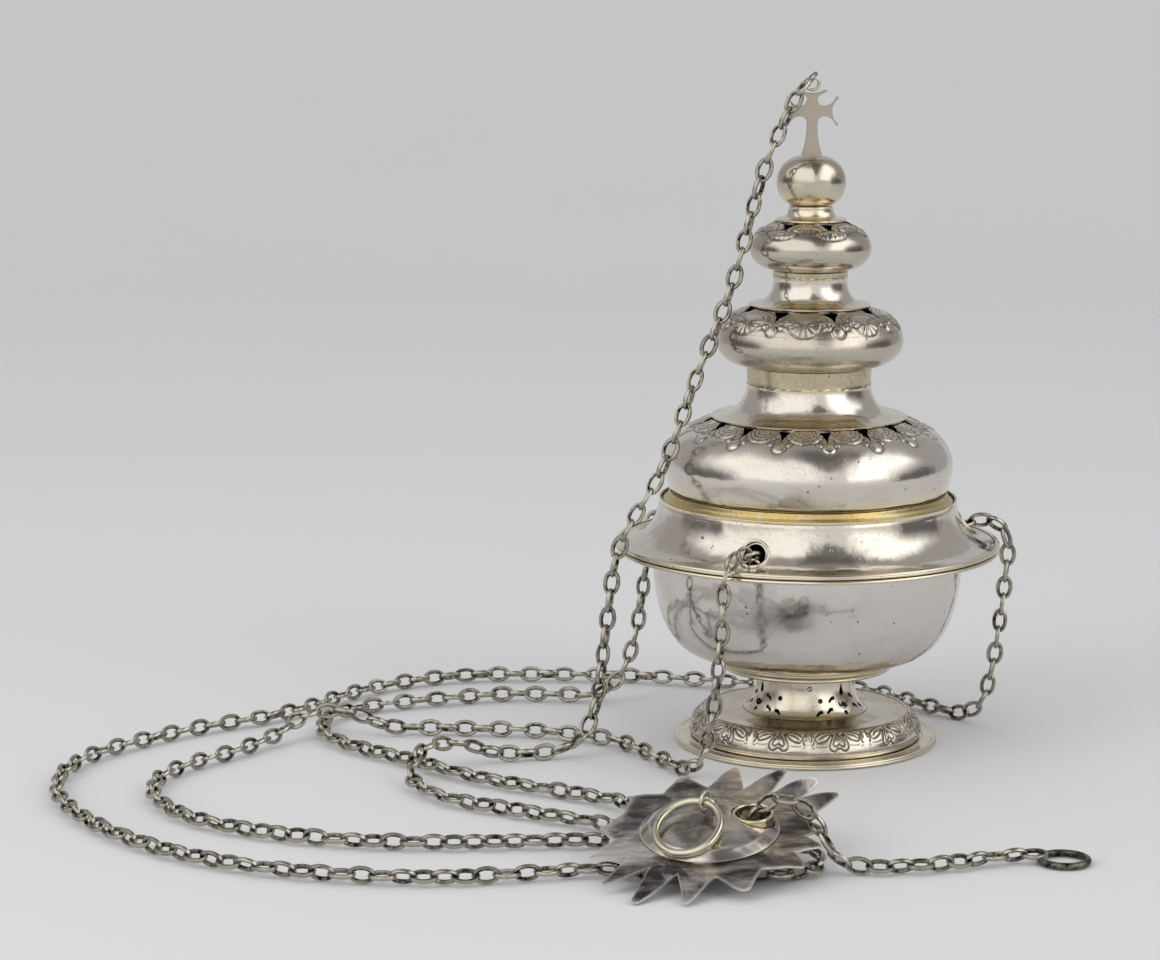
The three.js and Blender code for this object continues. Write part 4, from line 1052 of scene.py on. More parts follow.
def stem_openings(line):
    """Round holes, and pierced palmettes of a drop, a tulip and crescents, cut through the stem's wall."""
    circle = oval((0, 0), (1.0, 1.0), 0, 348, 30)
    round_holes = (
        (-33, 20.2), (1, 24.6), (13, 19.3), (72, 24.0), (120, 21.0), (165, 24.0), (215, 20.4), (262, 22.8),
    )
    cutters = [prism(circle, -4, 4, wall_matrix(line, turn, z)) for turn, z in round_holes]
    drop = [(0, 3.6), (0.9, 0.8), (1.15, -0.6), (0, -1.6), (-1.15, -0.6), (-0.9, 0.8)]
    tulip = [(-2.6, 1.8), (-1.4, 0.4), (0, 1.3), (1.4, 0.4), (2.6, 1.8), (2.2, -0.9), (0, -1.9), (-2.2, -0.9)]
    crescent = [(-0.2, 1.1), (1.4, 0.8), (2.7, -0.8), (2.3, -1.7), (1.0, -0.6), (-0.5, -0.3)]
    for turn in (42, -64, 140, 232):
        cutters.append(prism(drop, -4, 4, wall_matrix(line, turn, 22.2)))
        cutters.append(prism(tulip, -4, 4, wall_matrix(line, turn, 17.6)))
        for side in (1, -1):
            leaf = [(side * x, y) for x, y in crescent]
            for away, height in ((12, 20.0), (16, 16.2), (28, 15.2)):
                cutters.append(prism(leaf, -4, 4, wall_matrix(line, turn + side * away, height)))
        cutters.append(prism(circle, -4, 4, wall_matrix(line, turn, 14.6)))
    return cutters


def stem(material):
    spread = (STEM_RADIUS, STEM_BOTTOM + 0.12)
    waist_z = STEM_BOTTOM + STEM_FLARE
    flare = quarter(spread, (STEM_WAIST, waist_z), 1.6, 30, "flat")
    rise = quarter((STEM_WAIST, waist_z), (STEM_HEAD, STEM_TOP), 2, 12, "upright")
    line = joined([(STEM_RADIUS, STEM_BOTTOM)], flare, rise)
    outer = evenly(line, 40)
    profile, extra = walled(outer, STEM_WALL, 5)
    profile[len(outer):, 1] = np.clip(profile[len(outer):, 1], STEM_BOTTOM, STEM_TOP)
    columns = 192
    relief = on_wall(waves(columns, len(outer), 11, 0.07), extra)
    # Painted shade on the stem's inner wall.
    soot_and_shade = on_wall(np.zeros(len(outer)), extra, 0.8)
    mesh = turned("stem_mesh", profile, columns, relief, {"warm": 0.2, "soot_and_shade": soot_and_shade})
    mesh = pierced(mesh, stem_openings(line))
    return as_piece("pierced_stem", mesh, material, "stand", ["stem"], 30)


def bowl_moulding(material):
    low, high = MOULDING_BOTTOM, MOULDING_TOP
    outline = [
        (MOULDING_BORE, low), (24.0, low), (33.4, low + 0.5), (34.2, low + 1.2), (33.9, low + 1.9),
        (34.6, low + 2.3), (35.4, low + 3.0), (36.6, low + 3.5), (36.4, low + 4.0), (38.0, low + 4.5),
        (39.4, low + 5.0), (39.5, high - 0.1), (36.0, high), (MOULDING_BORE, high - 1.2),
    ]
    return plain_ring("bowl_moulding", "moulded_bowl_foot", outline, 0.5, 224, material, "stand", 0.42)


def bowl(material):
    wall_top = RIM_TOP - 3
    side = quarter((BOWL_FOOT_RADIUS, BOWL_BOTTOM), (BOWL_RADIUS, wall_top), BOWL_POWER, 80, "flat")
    outer = evenly(joined([(0, BOWL_BOTTOM)], side, [(BOWL_RADIUS, RIM_TOP)]), 90)
    inner = (outer - outward(outer) * BOWL_WALL)[::-1][::4]
    inner = inner[inner[:, 0] > 1]
    inner[0] = (BOWL_RADIUS - BOWL_WALL, RIM_TOP)
    profile = np.vstack([outer, inner, [(0, BOWL_BOTTOM + BOWL_WALL)]])
    columns = 256
    relief = on_wall(waves(columns, len(outer), 21, 0.09), len(profile) - len(outer))
    relief *= (profile[:, :1] > 20)
    low = 1 - steady(profile[:, 1:] - BOWL_BOTTOM, 1.0, 9.0)
    mesh = turned("bowl_mesh", profile, columns, relief, {"warm": low * 0.45}, closed=False)
    return as_piece("raised_bowl", mesh, material, "stand", ["bowl"])


def bowl_flange(material):
    r, low, high = RIM_RADIUS, FLANGE_BOTTOM, FLANGE_TOP
    inner = BOWL_RADIUS + SEAT
    outline = [
        (inner, low), (r - 1.4, low), (r - 0.4, low + 0.05), (r, low + 0.55), (r, high - 0.6),
        (r - 0.4, high - 0.05), (r - 1.2, high), (inner, high),
    ]
    return plain_ring("bowl_flange", "rolled_bowl_flange", outline, 0.3, 256, material, "stand", 0.4)


def coal_pan(material):
    lip = PAN_TOP - 1.0
    floor = PAN_BOTTOM
    side = quarter((BOWL_FOOT_RADIUS, BOWL_BOTTOM), (BOWL_RADIUS, RIM_TOP - 3), BOWL_POWER, 40, "flat")
    side = side - outward(side) * 1.9
    side = side[side[:, 1] > floor + 4.0]
    outer = joined([(0, floor)], [(side[0, 0] - 6.4, floor)], side, [(side[-1, 0], lip)])
    inner = (outer - outward(outer) * 1.0)[1:][::-1]
    inner[0] = (side[-1, 0] - 1.0, PAN_TOP)
    rim = [(PAN_RADIUS, lip), (PAN_RADIUS, PAN_TOP)]
    profile = joined(outer, rim, inner, [(0, floor + 1.0)])
    mesh = turned("coal_pan_mesh", profile, 128, closed=False)
    return as_piece("sheet_coal_pan", mesh, material, "coal_pan", ["coal_pan"])


def arch_route(half_width, height):
    """A staple's line in millimetres, its feet at z = 0."""
    spring = height - half_width
    turns = np.linspace(math.pi, 0, 15)
    bend = [(half_width * math.cos(a), 0, spring + half_width * math.sin(a)) for a in turns]
    foot, knee = (half_width, 0, 0), (half_width, 0, spring * 0.5)
    return [Vector(p) for p in [(-half_width, 0, 0), (-half_width, 0, spring * 0.5), *bend, knee, foot]]


def chain_lugs(material):
    for chain, turn in HOLE_TURNS.items():
        place = vessel_matrix(turn, (0, -LUG_RADIUS, RIM_TOP + SEAT))
        route = [place @ p for p in arch_route(LUG_HALF_WIDTH, LUG_HEIGHT)]
        node, name = f"{chain}_lug", f"{chain}_wire_lug"
        wire_piece(node, name, route, LUG_WIRE, 12, False, material, "stand")


# The lid


def lid_rim(material):
    r, low, high = LID_RADIUS, LID_BOTTOM, LID_RIM_TOP
    outline = [
        (r - LID_RIM_WIDTH, low), (r - 0.5, low), (r, low + 0.6), (r - 0.25, low + 0.95), (r, low + 1.25),
        (r - 0.5, high), (r - LID_RIM_WIDTH, high),
    ]
    return plain_ring("lid_rim", "beaded_lid_rim", outline, 0.25, 256, material, "lid", 0.4)


def skirt_line(steps=160):
    start = (LID_RADIUS - LID_RIM_WIDTH - SEAT, LID_RIM_TOP - 0.4)
    return quarter(start, (SKIRT_TOP_RADIUS, SKIRT_TOP), SKIRT_POWER, steps, "flat")


def lid_skirt(material):
    line = skirt_line()
    outer = evenly(line, 64)
    profile, extra = walled(outer, SKIRT_WALL, 6)
    profile[len(outer):, 1] = np.minimum(profile[len(outer):, 1], SKIRT_TOP)
    columns = 288
    relief = waves(columns, len(outer), 31, 0.06)
    gone = lengths(outer)
    near_top = gone[-1] - gone
    relief = relief - 0.22 * mark(near_top - 1.3, 0.4)[:, None] - 0.1 * mark(gone - 1.6, 0.4)[:, None]
    warm = on_wall(0.15 + 0.6 * mark(near_top, 2.0), extra, 0.2)
    # Soot and painted shade on the skirt's inner wall.
    soot_and_shade = on_wall(np.zeros(len(outer)), extra, 0.75)
    mesh = turned("lid_skirt_mesh", profile, columns, on_wall(relief, extra), {"warm": warm, "soot_and_shade": soot_and_shade})
    outline = oval((0, 0), (HOLE_HALF_WIDTH, HOLE_HALF_HEIGHT), 0, 350, 36)
    cutters = [prism(outline, -8, 8, wall_matrix(line, turn, HOLE_HEIGHT)) for turn in HOLE_TURNS.values()]
    return as_piece("flared_lid_skirt", pierced(mesh, cutters), material, "lid", ["lid_skirt"], 30)


def hole_rims(material):
    """A raised wire lip round each chain hole."""
    line = skirt_line(600)
    gone = lengths(line)
    site = gone[int(np.argmin(np.abs(line[:, 1] - HOLE_HEIGHT)))]
    normal = outward(line)
    points, sides = 48, 10
    for chain, turn in HOLE_TURNS.items():
        route = []
        for angle in np.linspace(0, 2 * math.pi, points, endpoint=False):
            climb = (HOLE_HALF_HEIGHT + 1.15) * math.sin(angle)
            side = (HOLE_HALF_WIDTH + 1.05) * math.cos(angle)
            k = int(np.argmin(np.abs(gone - np.clip(site + climb, gone[2], gone[-3]))))
            r, z = line[k] + normal[k] * 0.45
            a = math.radians(turn) + side / r
            route.append(vessel_place(r * math.sin(a), -r * math.cos(a), z))
        node, name, warm = f"{chain}_hole_rim", f"{chain}_raised_rim", {"warm": np.full(points * sides, 0.3)}
        wire_piece(node, name, route, HOLE_RIM_WIRE, sides, True, material, "lid", warm)


def lid_bezel(material):
    low, high = BEZEL_BOTTOM, BEZEL_TOP
    top = SKIRT_TOP + 2.6
    lip = DOME_BASE - 1.2 - SEAT
    tuck = SKIRT_TOP_RADIUS - SKIRT_WALL - SEAT
    proud = DOME_BASE + 0.4
    outline = [
        (lip - 0.9, low), (tuck, low), (tuck, low + 0.9), (proud + 1.6, low + 1.3), (proud + 0.5, low + 2.1),
        (proud + 0.2, low + 3.0), (proud, top), (lip, top), (lip, high), (lip - 0.9, high),
    ]
    return plain_ring(
        "lid_bezel", "gilt_lid_bezel", outline, 0.35, 288, material, "lid", 1.0,
        lift=0.05, seed=41,
    )


def vent_cutters(vents, ledge, low, high):
    """Pointed vents round a dome, from under the ledge of the neck outward."""
    count, turn, width, length = vents
    edge, under, tip = ledge - 0.4, ledge - 4.0, ledge + length + 2.2
    half, bend = width * 0.58, 0.55 * edge + 0.45 * tip
    right = [(0.3 * half, -bend), (half, -edge), (half, -under)]
    outline = [*((-x, y) for x, y in reversed(right)), (0, -tip), *right]
    return [prism(outline, low, high, vessel_matrix(turn + i * 360 / count)) for i in range(count)]


def chased_dome(node, material, low, high, ledge, vents, chasing, per_sector, band, share, seed):
    """A raised dome: fine rows where it is chased, fewer below, and its vents cut through.

    low and high are its wall below and above its widest place, and band is how far the chasing reaches.
    The pattern is repeated once for each vent, in per_sector columns, at share of its full depth.
    """
    name = f"chased_{node}"
    line = joined(low, high)
    total = lengths(line)[-1]
    top = ledge_distance(line, ledge)
    fine = np.arange(top - band, min(top + 1.2, total), 0.36)
    coarse = np.linspace(0, top - band, 26, endpoint=False)
    tail = np.linspace(min(top + 1.2, total), total, 5)
    outer = resampled(line, np.concatenate([coarse, fine, tail]))
    profile, extra = walled(outer, DOME_WALL, 7)
    sectors, first_vent = vents[:2]
    phase = first_vent + 180 / sectors
    relief, hollow, start = chased(outer, top, sectors, per_sector, chasing, phase, share)
    columns = sectors * per_sector
    gone = lengths(outer)
    lift = relief + waves(columns, len(outer), seed, 0.05) + 0.5 * mark(gone - top, 1.5)[:, None]
    ends = steady(gone, 0, 2.5) * (1 - steady(gone, total - 1.5, total))
    lift = on_wall(lift * ends[:, None], extra)
    warm = 0.12 + 0.65 * (1 - steady(gone, 0.0, 8.0)) + 0.45 * mark(gone - top, 3.0)
    # Soot and painted shade on the dome's inner wall.
    soot_and_shade = on_wall(np.zeros(len(outer)), extra, 1.0)
    fields = {"hollow": on_wall(hollow, extra), "warm": on_wall(warm, extra), "soot_and_shade": soot_and_shade}
    mesh = turned(f"{name}_mesh", profile, columns, lift, fields, start=start)
    middle = float(outer[np.argmax(outer[:, 0]), 1])
    mesh = pierced(mesh, vent_cutters(vents, ledge, middle, float(line[-1, 1]) + 4))
    return as_piece(name, mesh, material, "lid", [node], 42)


def large_dome(material):
    middle = (DOME_RADIUS, DOME_BOTTOM + DOME_LOWER)
    low = quarter((DOME_BASE, DOME_BOTTOM), middle, DOME_POWER, 60, "flat")
    high = quarter(middle, (LOWER_LEDGE - 6, DOME_TOP), 2, 160, "upright")
    return chased_dome(
        "large_dome", material, low, high, LOWER_LEDGE, DOME_VENTS, dome_chasing,
        per_sector=54, band=14.6, share=0.8, seed=51,
    )


def second_dome(material):
    middle = (SECOND_RADIUS, SECOND_BOTTOM + SECOND_LOWER)
    low = quarter((SECOND_BASE, SECOND_BOTTOM), middle, 2, 60, "flat")
    high = quarter(middle, (UPPER_LEDGE - 5, SECOND_TOP), 2, 160, "upright")
    return chased_dome(
        "second_dome", material, low, high, UPPER_LEDGE, SECOND_VENTS, second_chasing,
        per_sector=76, band=15.6, share=0.85, seed=61,
    )


def third_dome(material):
    middle = (THIRD_RADIUS, THIRD_BOTTOM + THIRD_LOWER)
    low = quarter((THIRD_BASE, THIRD_BOTTOM), middle, 2, 50, "flat")
    high = quarter(middle, (BALL_LEDGE - 5, THIRD_TOP), 2, 120, "upright")
    return chased_dome(
        "third_dome", material, low, high, BALL_LEDGE, THIRD_VENTS, third_chasing,
        per_sector=66, band=11.0, share=0.85, seed=71,
    )


def neck(node, ledge, waist, bottom, top, material, seed, collar):
    """A flared neck on its ledge, with a rough line of solder under the collar at its top, and painted shade
    on the collar under the dome above.
    """
    height = top - bottom
    flare = quarter((ledge - 0.4, bottom + 0.9), (waist, bottom + height * 0.75), NECK_POWER, 60, "flat")
    edge = [(ledge - 0.3, bottom), (ledge, bottom + 0.3), (ledge, bottom + 0.6)]
    outer = evenly(joined(edge, flare, [(waist + 0.3, top)]), 84)
    gone = lengths(outer)
    profile, extra = walled(outer, NECK_WALL, 8)
    profile[:, 1] = np.clip(profile[:, 1], bottom, top)
    columns = 224
    source = np.random.default_rng(seed)
    seam = top - collar
    solder = mark(outer[:, 1] - seam, 0.5)[:, None]
    grains = source.normal(0, 1, (len(outer), columns))
    grains = (grains + np.roll(grains, 1, 1) + np.roll(grains, -1, 1)) / 3
    lift = waves(columns, len(outer), seed, 0.045) * steady(gone, 1.5, 5)[:, None]
    lift = on_wall(lift + solder * (0.07 + 0.1 * grains), extra)
    # Painted shade on the collar under the dome above; the solder line under it is dark of itself.
    collar_shade = 0.42 * steady(outer[:, 1:], seam, seam + 0.5)
    hollow = np.clip(solder * (0.4 - 0.8 * grains) + collar_shade, 0, 0.8)
    warm = 0.15 + 0.85 * steady(outer[:, 1], seam - 1.4, seam - 0.2) + 0.35 * (1 - steady(gone, 0, 9))
    # Painted shade along the neck's foot where it sits on its ledge, and soot and painted shade on its inner
    # wall.
    soot_and_shade = on_wall(1 - steady(outer[:, 1], bottom, bottom + 0.12), extra, 1.0)
    fields = {"warm": on_wall(np.clip(warm, 0, 1), extra), "hollow": on_wall(hollow, extra), "soot_and_shade": soot_and_shade}
    name = f"flared_{node}"
    mesh = turned(f"{name}_mesh", profile, columns, lift, fields)
    return as_piece(name, mesh, material, "lid", [node])


def ball_neck(material):
    low, top = BALL_NECK_BOTTOM, BALL_NECK_TOP
    ledge = low + 0.9
    waist = quarter((BALL_LEDGE - 2, ledge + 0.3), (BALL_NECK_RADIUS + 0.4, top - 1.0), 2.0, 12, "flat")
    outline = [
        (4, low), (BALL_LEDGE - 0.3, low), (BALL_LEDGE, low + 0.45), (BALL_LEDGE - 0.4, ledge + 0.05),
        *map(tuple, waist), (BALL_NECK_RADIUS + 0.5, top - 0.55), (BALL_NECK_RADIUS + 0.1, top), (4, top),
    ]
    return plain_ring(
        "ball_neck", "ball_neck_spool", outline, 0.3, 128, material, "lid", 0.35, lift=0.06, seed=81
    )


def finial_ball(material):
    """A raised ball with four dents."""
    height = BALL_TOP - BALL_BOTTOM
    middle = BALL_BOTTOM + height * 0.48
    low = quarter((BALL_NECK_RADIUS - 1, BALL_BOTTOM), (BALL_RADIUS, middle), 2, 30, "flat")
    high = quarter((BALL_RADIUS, middle), (3, BALL_TOP), 2, 34, "upright")
    profile = joined([(0, BALL_BOTTOM)], [(3.5, BALL_BOTTOM)], low, high, [(1.5, BALL_TOP)], [(0, BALL_TOP)])
    columns = 128
    turn = np.linspace(0, 360, columns, endpoint=False)[None, :]
    lift = waves(columns, len(profile), 91, 0.05)
    for at, z, size, deep in BALL_DENTS:
        off = (np.abs((turn - at + 180) % 360 - 180) / 57.3 * 13) ** 2
        rise = ((profile[:, 1:] - BALL_BOTTOM) - z * height) ** 2
        lift = lift - deep * np.exp(-(off + rise) / (size * 16) ** 2)
    lift *= (profile[:, :1] > 5)
    warm = 0.25 + 0.6 * (1 - steady(profile[:, 1:] - BALL_BOTTOM, 1, 8))
    mesh = turned("finial_ball_mesh", profile, columns, lift, {"warm": warm}, closed=False)
    return as_piece("raised_finial_ball", mesh, material, "lid", ["finial_ball"])


def cross_outline():
    """The cross seen from the front: a flared foot and three arms forked into crescents, in millimetres."""
    centre = CROSS_BOTTOM + CROSS_CENTRE
    tall = CROSS_TOP - centre
    corner = CROSS_WAIST * 1.3
    neck = CROSS_WAIST * 0.92
    reach = corner + CROSS_WAIST * 0.95

    def arm(direction, length, half, depth):
        side = joined(
            bow((corner, corner), (neck * 1.05, corner + 0.75), (neck, reach), 5),
            bow((neck, reach), (neck, length * 0.76), (half, length * 0.93), 8),
            [(half * 0.98, length * 0.985)],
        )
        fork = bow((half * 0.84, length), (half * 0.5, length * depth), (0, length * depth), 7)
        path = joined(side, fork)
        path = joined(path, path[::-1] * (-1, 1))
        c, s = math.cos(math.radians(direction)), math.sin(math.radians(direction))
        across, up = path[:, 0] * c + path[:, 1] * s, path[:, 1] * c - path[:, 0] * s
        return np.column_stack([across, up]) + (0, centre)

    knee, crook = (-neck, centre - reach - 0.6), (-corner, centre - corner)
    foot_left = joined(
        bow((-3.9, CROSS_BOTTOM), (-neck * 1.05, CROSS_BOTTOM + 4.6), knee, 9),
        bow(knee, (-neck * 1.05, centre - corner - 0.75), crook, 5),
    )
    half = CROSS_ARM * 0.56
    side_arm = (CROSS_ARM, half, SIDE_FORK_DEPTH)
    arms = arm(90, *side_arm), arm(0, tall, half, FORK_DEPTH), arm(-90, *side_arm)
    outline = joined(foot_left * (-1, 1), *arms, foot_left[::-1])
    keep = [outline[0]]
    for point in outline[1:]:
        if np.hypot(*(point - keep[-1])) > 0.3:
            keep.append(point)
    return keep


def finial_cross(material):
    outline = np.array(cross_outline())
    ahead = np.roll(outline, -1, axis=0) - np.roll(outline, 1, axis=0)
    ahead /= np.hypot(*ahead.T)[:, None]
    flat = outline + np.column_stack([-ahead[:, 1], ahead[:, 0]]) * CROSS_BEVEL
    half = CROSS_PLATE / 2
    layers = (flat, -half), (outline, CROSS_BEVEL - half), (outline, half - CROSS_BEVEL), (flat, half)
    work = bmesh.new()
    rows = [[work.verts.new((x, y, z)) for x, z in line] for line, y in layers]
    for near, far in zip(rows, rows[1:]):
        for quad in zip(near, near[1:] + near[:1], far[1:] + far[:1], far):
            work.faces.new(quad)
    corners = [Vector((x, z, 0)) for x, z in flat]
    for row in (rows[0], rows[-1]):
        for triangle in tessellate_polygon([corners]):
            work.faces.new([row[i] for i in triangle])
    bmesh.ops.recalc_face_normals(work, faces=work.faces)
    bmesh.ops.transform(work, matrix=vessel_matrix(), verts=work.verts)
    mesh = bpy.data.meshes.new("finial_cross_mesh")
    work.to_mesh(mesh)
    work.free()
    carry(mesh, "warm", np.full(len(mesh.vertices), 0.15))
    return as_piece("forked_finial_cross", mesh, material, "lid", ["finial_cross"], 30)


def ring_route(radius, matrix, steps):
    turns = np.linspace(0, 2 * math.pi, steps, endpoint=False)
    return [matrix @ Vector((radius * math.cos(a), radius * math.sin(a), 0)) for a in turns]


def finial_loop(material):
    fork = CROSS_TOP - (CROSS_TOP - CROSS_BOTTOM - CROSS_CENTRE) * (1 - FORK_DEPTH)
    place = vessel_matrix(0, (0, 0, fork + LOOP_RADIUS + LOOP_WIRE + SEAT * 2))
    route = ring_route(LOOP_RADIUS, place @ Matrix.Rotation(math.pi / 2, 4, "X"), 40)
    name = "finial_wire_loop"
    return wire_piece("finial_loop", name, route, LOOP_WIRE, 12, True, material, "lid")


# The hand plate and the rings


def plate_matrix():
    """From millimetres about the hand plate's centre to the row frame."""
    normal = Vector((-PLATE_SLOPE[0], -PLATE_SLOPE[1], 1)).normalized()
    lean = Vector((0, 0, 1)).rotation_difference(normal).to_matrix().to_4x4()
    return Matrix.Translation(AXIS) @ Matrix.Scale(MM, 4) @ Matrix.Translation(PLATE_CENTRE) @ lean


def boss_surface(radius):
    """Height of the boss above the plate's middle, in millimetres."""
    return SEAT + BOSS_HEIGHT * (1 - (radius / BOSS_RADIUS) ** BOSS_POWER)


def ray_outline(steps):
    """The plate's edge: rays with rounded tips and hollow sides."""
    points = []
    for i, (turn, reach, _, _, tip) in enumerate(RAYS):
        following = RAYS[(i + 1) % len(RAYS)]
        next_turn = following[0] + (360 if i + 1 == len(RAYS) else 0)
        end = reach * RAY_LENGTH
        half = math.degrees(tip / 2 / end)
        valley_turn = (turn + next_turn) / 2

        def at(radius, angle):
            return np.array([radius * math.cos(math.radians(angle)), radius * math.sin(math.radians(angle))])

        left, right = at(end - 0.7, turn - half), at(end - 0.7, turn + half)
        points += list(bow(left, at(end + 0.7, turn), right, 7))
        valley = at(RAY_ROOT, valley_turn)
        pull = 0.5 * (right + valley) + at(1, turn + 90) * (0.6 if i % 3 else -0.2)
        points += list(bow(right, pull, valley, 9)[1:])
        next_end = following[1] * RAY_LENGTH
        next_left = at(next_end - 0.7, next_turn - math.degrees(following[4] / 2 / next_end))
        pull = 0.5 * (next_left + valley) + at(1, next_turn - 90) * (0.5 if i % 2 else -0.5)
        points += list(bow(valley, pull, next_left, 9)[1:-1])
    return evenly(np.array(points + [points[0]]), steps + 1)[:-1]


def plate_lift(x, y):
    """How far the sheet is bent out of its plane, in millimetres."""
    radius = np.hypot(x, y)
    turn = np.degrees(np.arctan2(y, x))
    lift = 0.25 * np.sin(x * 0.11 + 1.0) * np.cos(y * 0.13) * steady(radius, 24, 34)
    for at, reach, bend, twist, _ in RAYS:
        away = (turn - at + 180) % 360 - 180
        near = 1 - steady(np.abs(away), 5, 11)
        out = steady(radius, 30, reach * RAY_LENGTH)
        lift = lift + near * out * (bend + twist * np.radians(away) * radius)
    return lift


def eyelet_bore(radius, low, high):
    """What is cut out of the plate and its boss for the eyelet."""
    return prism(oval((EYELET_OFFSET, 0), (radius, radius), 0, 350, 36), low, high, plate_matrix())


def hand_plate(material):
    count, rows = 720, 26
    edge = ray_outline(count)
    share = np.concatenate([np.linspace(0.02, 0.5, 8, endpoint=False), np.linspace(0.5, 1.0, rows - 8)])
    grid = edge[None, :, :] * share[:, None, None]
    x, y = grid[..., 0], grid[..., 1]
    lift = plate_lift(x, y)
    source = np.random.default_rng(5)
    ridges = 0
    for a in source.uniform(0, math.pi, 7):
        high, often = source.uniform(0.3, 1.0), source.uniform(0.1, 0.5)
        ridges = ridges + high * np.cos(often * (x * math.cos(a) + y * math.sin(a)) + source.uniform(0, 6))
    lift = lift + 0.05 * ridges * steady(np.hypot(x, y), 24, 34)
    top = np.stack([x, y, lift], axis=-1)
    bottom = np.stack([x, y, lift - PLATE_WALL], axis=-1)
    bottom[-1] = top[-1] - (0, 0, PLATE_WALL * 0.75)
    top_index = np.arange(rows * count).reshape(rows, count)
    low_index = top_index + rows * count
    quads = np.vstack([
        strip_quads(top_index[1:], top_index[:-1]), strip_quads(low_index[:-1], low_index[1:]),
        strip_quads(low_index[-1:], top_index[-1:]),
    ])
    points = np.vstack([top.reshape(-1, 3), bottom.reshape(-1, 3), [(0, 0, 0)], [(0, 0, -PLATE_WALL)]])
    mid, low_mid = 2 * rows * count, 2 * rows * count + 1
    ring, low_ring = top_index[0], low_index[0]
    tris = [(mid, a, b) for a, b in zip(ring, np.roll(ring, -1))]
    tris += [(low_mid, b, a) for a, b in zip(low_ring, np.roll(low_ring, -1))]
    matrix = np.array(plate_matrix())
    placed = points @ matrix[:3, :3].T + matrix[:3, 3]
    # Painted highlight along the rayed edge: the outermost row, and a little on the row inside it.
    edge_highlight = np.zeros((2, rows, count))
    edge_highlight[:, -1] = 1.0
    edge_highlight[:, -2] = 0.35
    fields = {"edge_highlight": np.concatenate([edge_highlight.ravel(), [0, 0]])}
    mesh = faced_out(flat_mesh("hand_plate_mesh", placed, quads, np.array(tris), fields))
    mesh = pierced(mesh, [eyelet_bore(EYELET_BORE + 0.2, -4, 4)])
    return as_piece("rayed_hand_plate", mesh, material, "stand", ["hand_plate"], 34)


def about_plate(name, profile, columns, matrix, fields=None, closed=True):
    """Turns a profile about the local Z of the matrix."""
    mesh = turned(name, np.asarray(profile, dtype=float), columns, None, fields, closed)
    mesh.transform(matrix @ Matrix.Scale(1 / MM, 4) @ Matrix.Translation(-AXIS))
    return mesh


def plate_boss(material):
    radius = BOSS_RADIUS * (1 - np.linspace(0, 1, 40)) ** 0.8
    height = boss_surface(radius)
    edge = [(BOSS_RADIUS - 0.3, SEAT - 0.3), (BOSS_RADIUS, SEAT), (BOSS_RADIUS - 0.5, SEAT + 0.3)]
    step = [(BOSS_STEP + 0.1, 2.9), (BOSS_STEP - 0.3, 3.0)]
    crown = [(r, z) for r, z in zip(radius, height) if r < BOSS_STEP - 1.1]
    fine = evenly(joined(edge, step, crown), 60)
    fine[-1] = (0, fine[-1, 1])
    inner = (fine - outward(fine) * BOSS_WALL)[::-1]
    inner = np.array([(max(r, 0), z) for r, z in inner if z > SEAT - 0.2 and r < BOSS_RADIUS - 1])
    inner[0] = (0, inner[0, 1])
    inner = np.array([p for i, p in enumerate(inner) if i == 0 or p[0] > 0.4])
    whole = np.vstack([inner, [(BOSS_RADIUS - 1.0, SEAT - 0.3)], fine])
    # Painted highlight on the boss's outer rim and on its step.
    edge_highlight = mark(whole[:, 0] - BOSS_RADIUS, 0.5) + 0.7 * mark(whole[:, 0] - BOSS_STEP, 0.4)
    fields = {"edge_highlight": np.clip(edge_highlight, 0, 1)[:, None]}
    mesh = faced_out(about_plate("plate_boss_mesh", whole, 160, plate_matrix(), fields, closed=False))
    mesh = pierced(mesh, [eyelet_bore(EYELET_RADIUS + 0.25, -6, 14)])
    return as_piece("raised_plate_boss", mesh, material, "stand", ["plate_boss"], 26)


def plate_eyelet(material):
    top = boss_surface(EYELET_OFFSET) + EYELET_STAND
    outline = [
        (EYELET_BORE, SEAT), (EYELET_RADIUS - 0.2, SEAT), (EYELET_RADIUS - 0.1, top - 1.6),
        (EYELET_RADIUS, top - 1.1), (EYELET_RADIUS, top - 0.3), (EYELET_RADIUS - 0.4, top),
        (EYELET_BORE + 0.4, top), (EYELET_BORE, top - 0.5),
    ]
    place = plate_matrix() @ Matrix.Translation((EYELET_OFFSET, 0, 0))
    mesh = about_plate("plate_eyelet_mesh", softened(outline, 0.35), 72, place, {"warm": 0.6})
    return as_piece("plate_wire_eyelet", mesh, material, "stand", ["plate_eyelet"])


def plate_staples(material):
    for chain, turn in STAPLE_TURNS.items():
        a = math.radians(turn)
        spot = (STAPLE_RADIUS * math.cos(a), STAPLE_RADIUS * math.sin(a), -PLATE_WALL - SEAT)
        place = plate_matrix() @ Matrix.Translation(spot)
        place = place @ Matrix.Rotation(math.pi, 4, "X") @ Matrix.Rotation(-a - math.pi / 2, 4, "Z")
        route = [place @ p for p in arch_route(STAPLE_HALF_WIDTH, STAPLE_HEIGHT)]
        node, name = f"{chain}_staple", f"{chain}_wire_staple"
        wire_piece(node, name, route, STAPLE_WIRE, 12, False, material, "stand")


def grip_matrix():
    return plate_matrix() @ Matrix.Rotation(math.radians(HANDLE_TURN), 4, "Z")


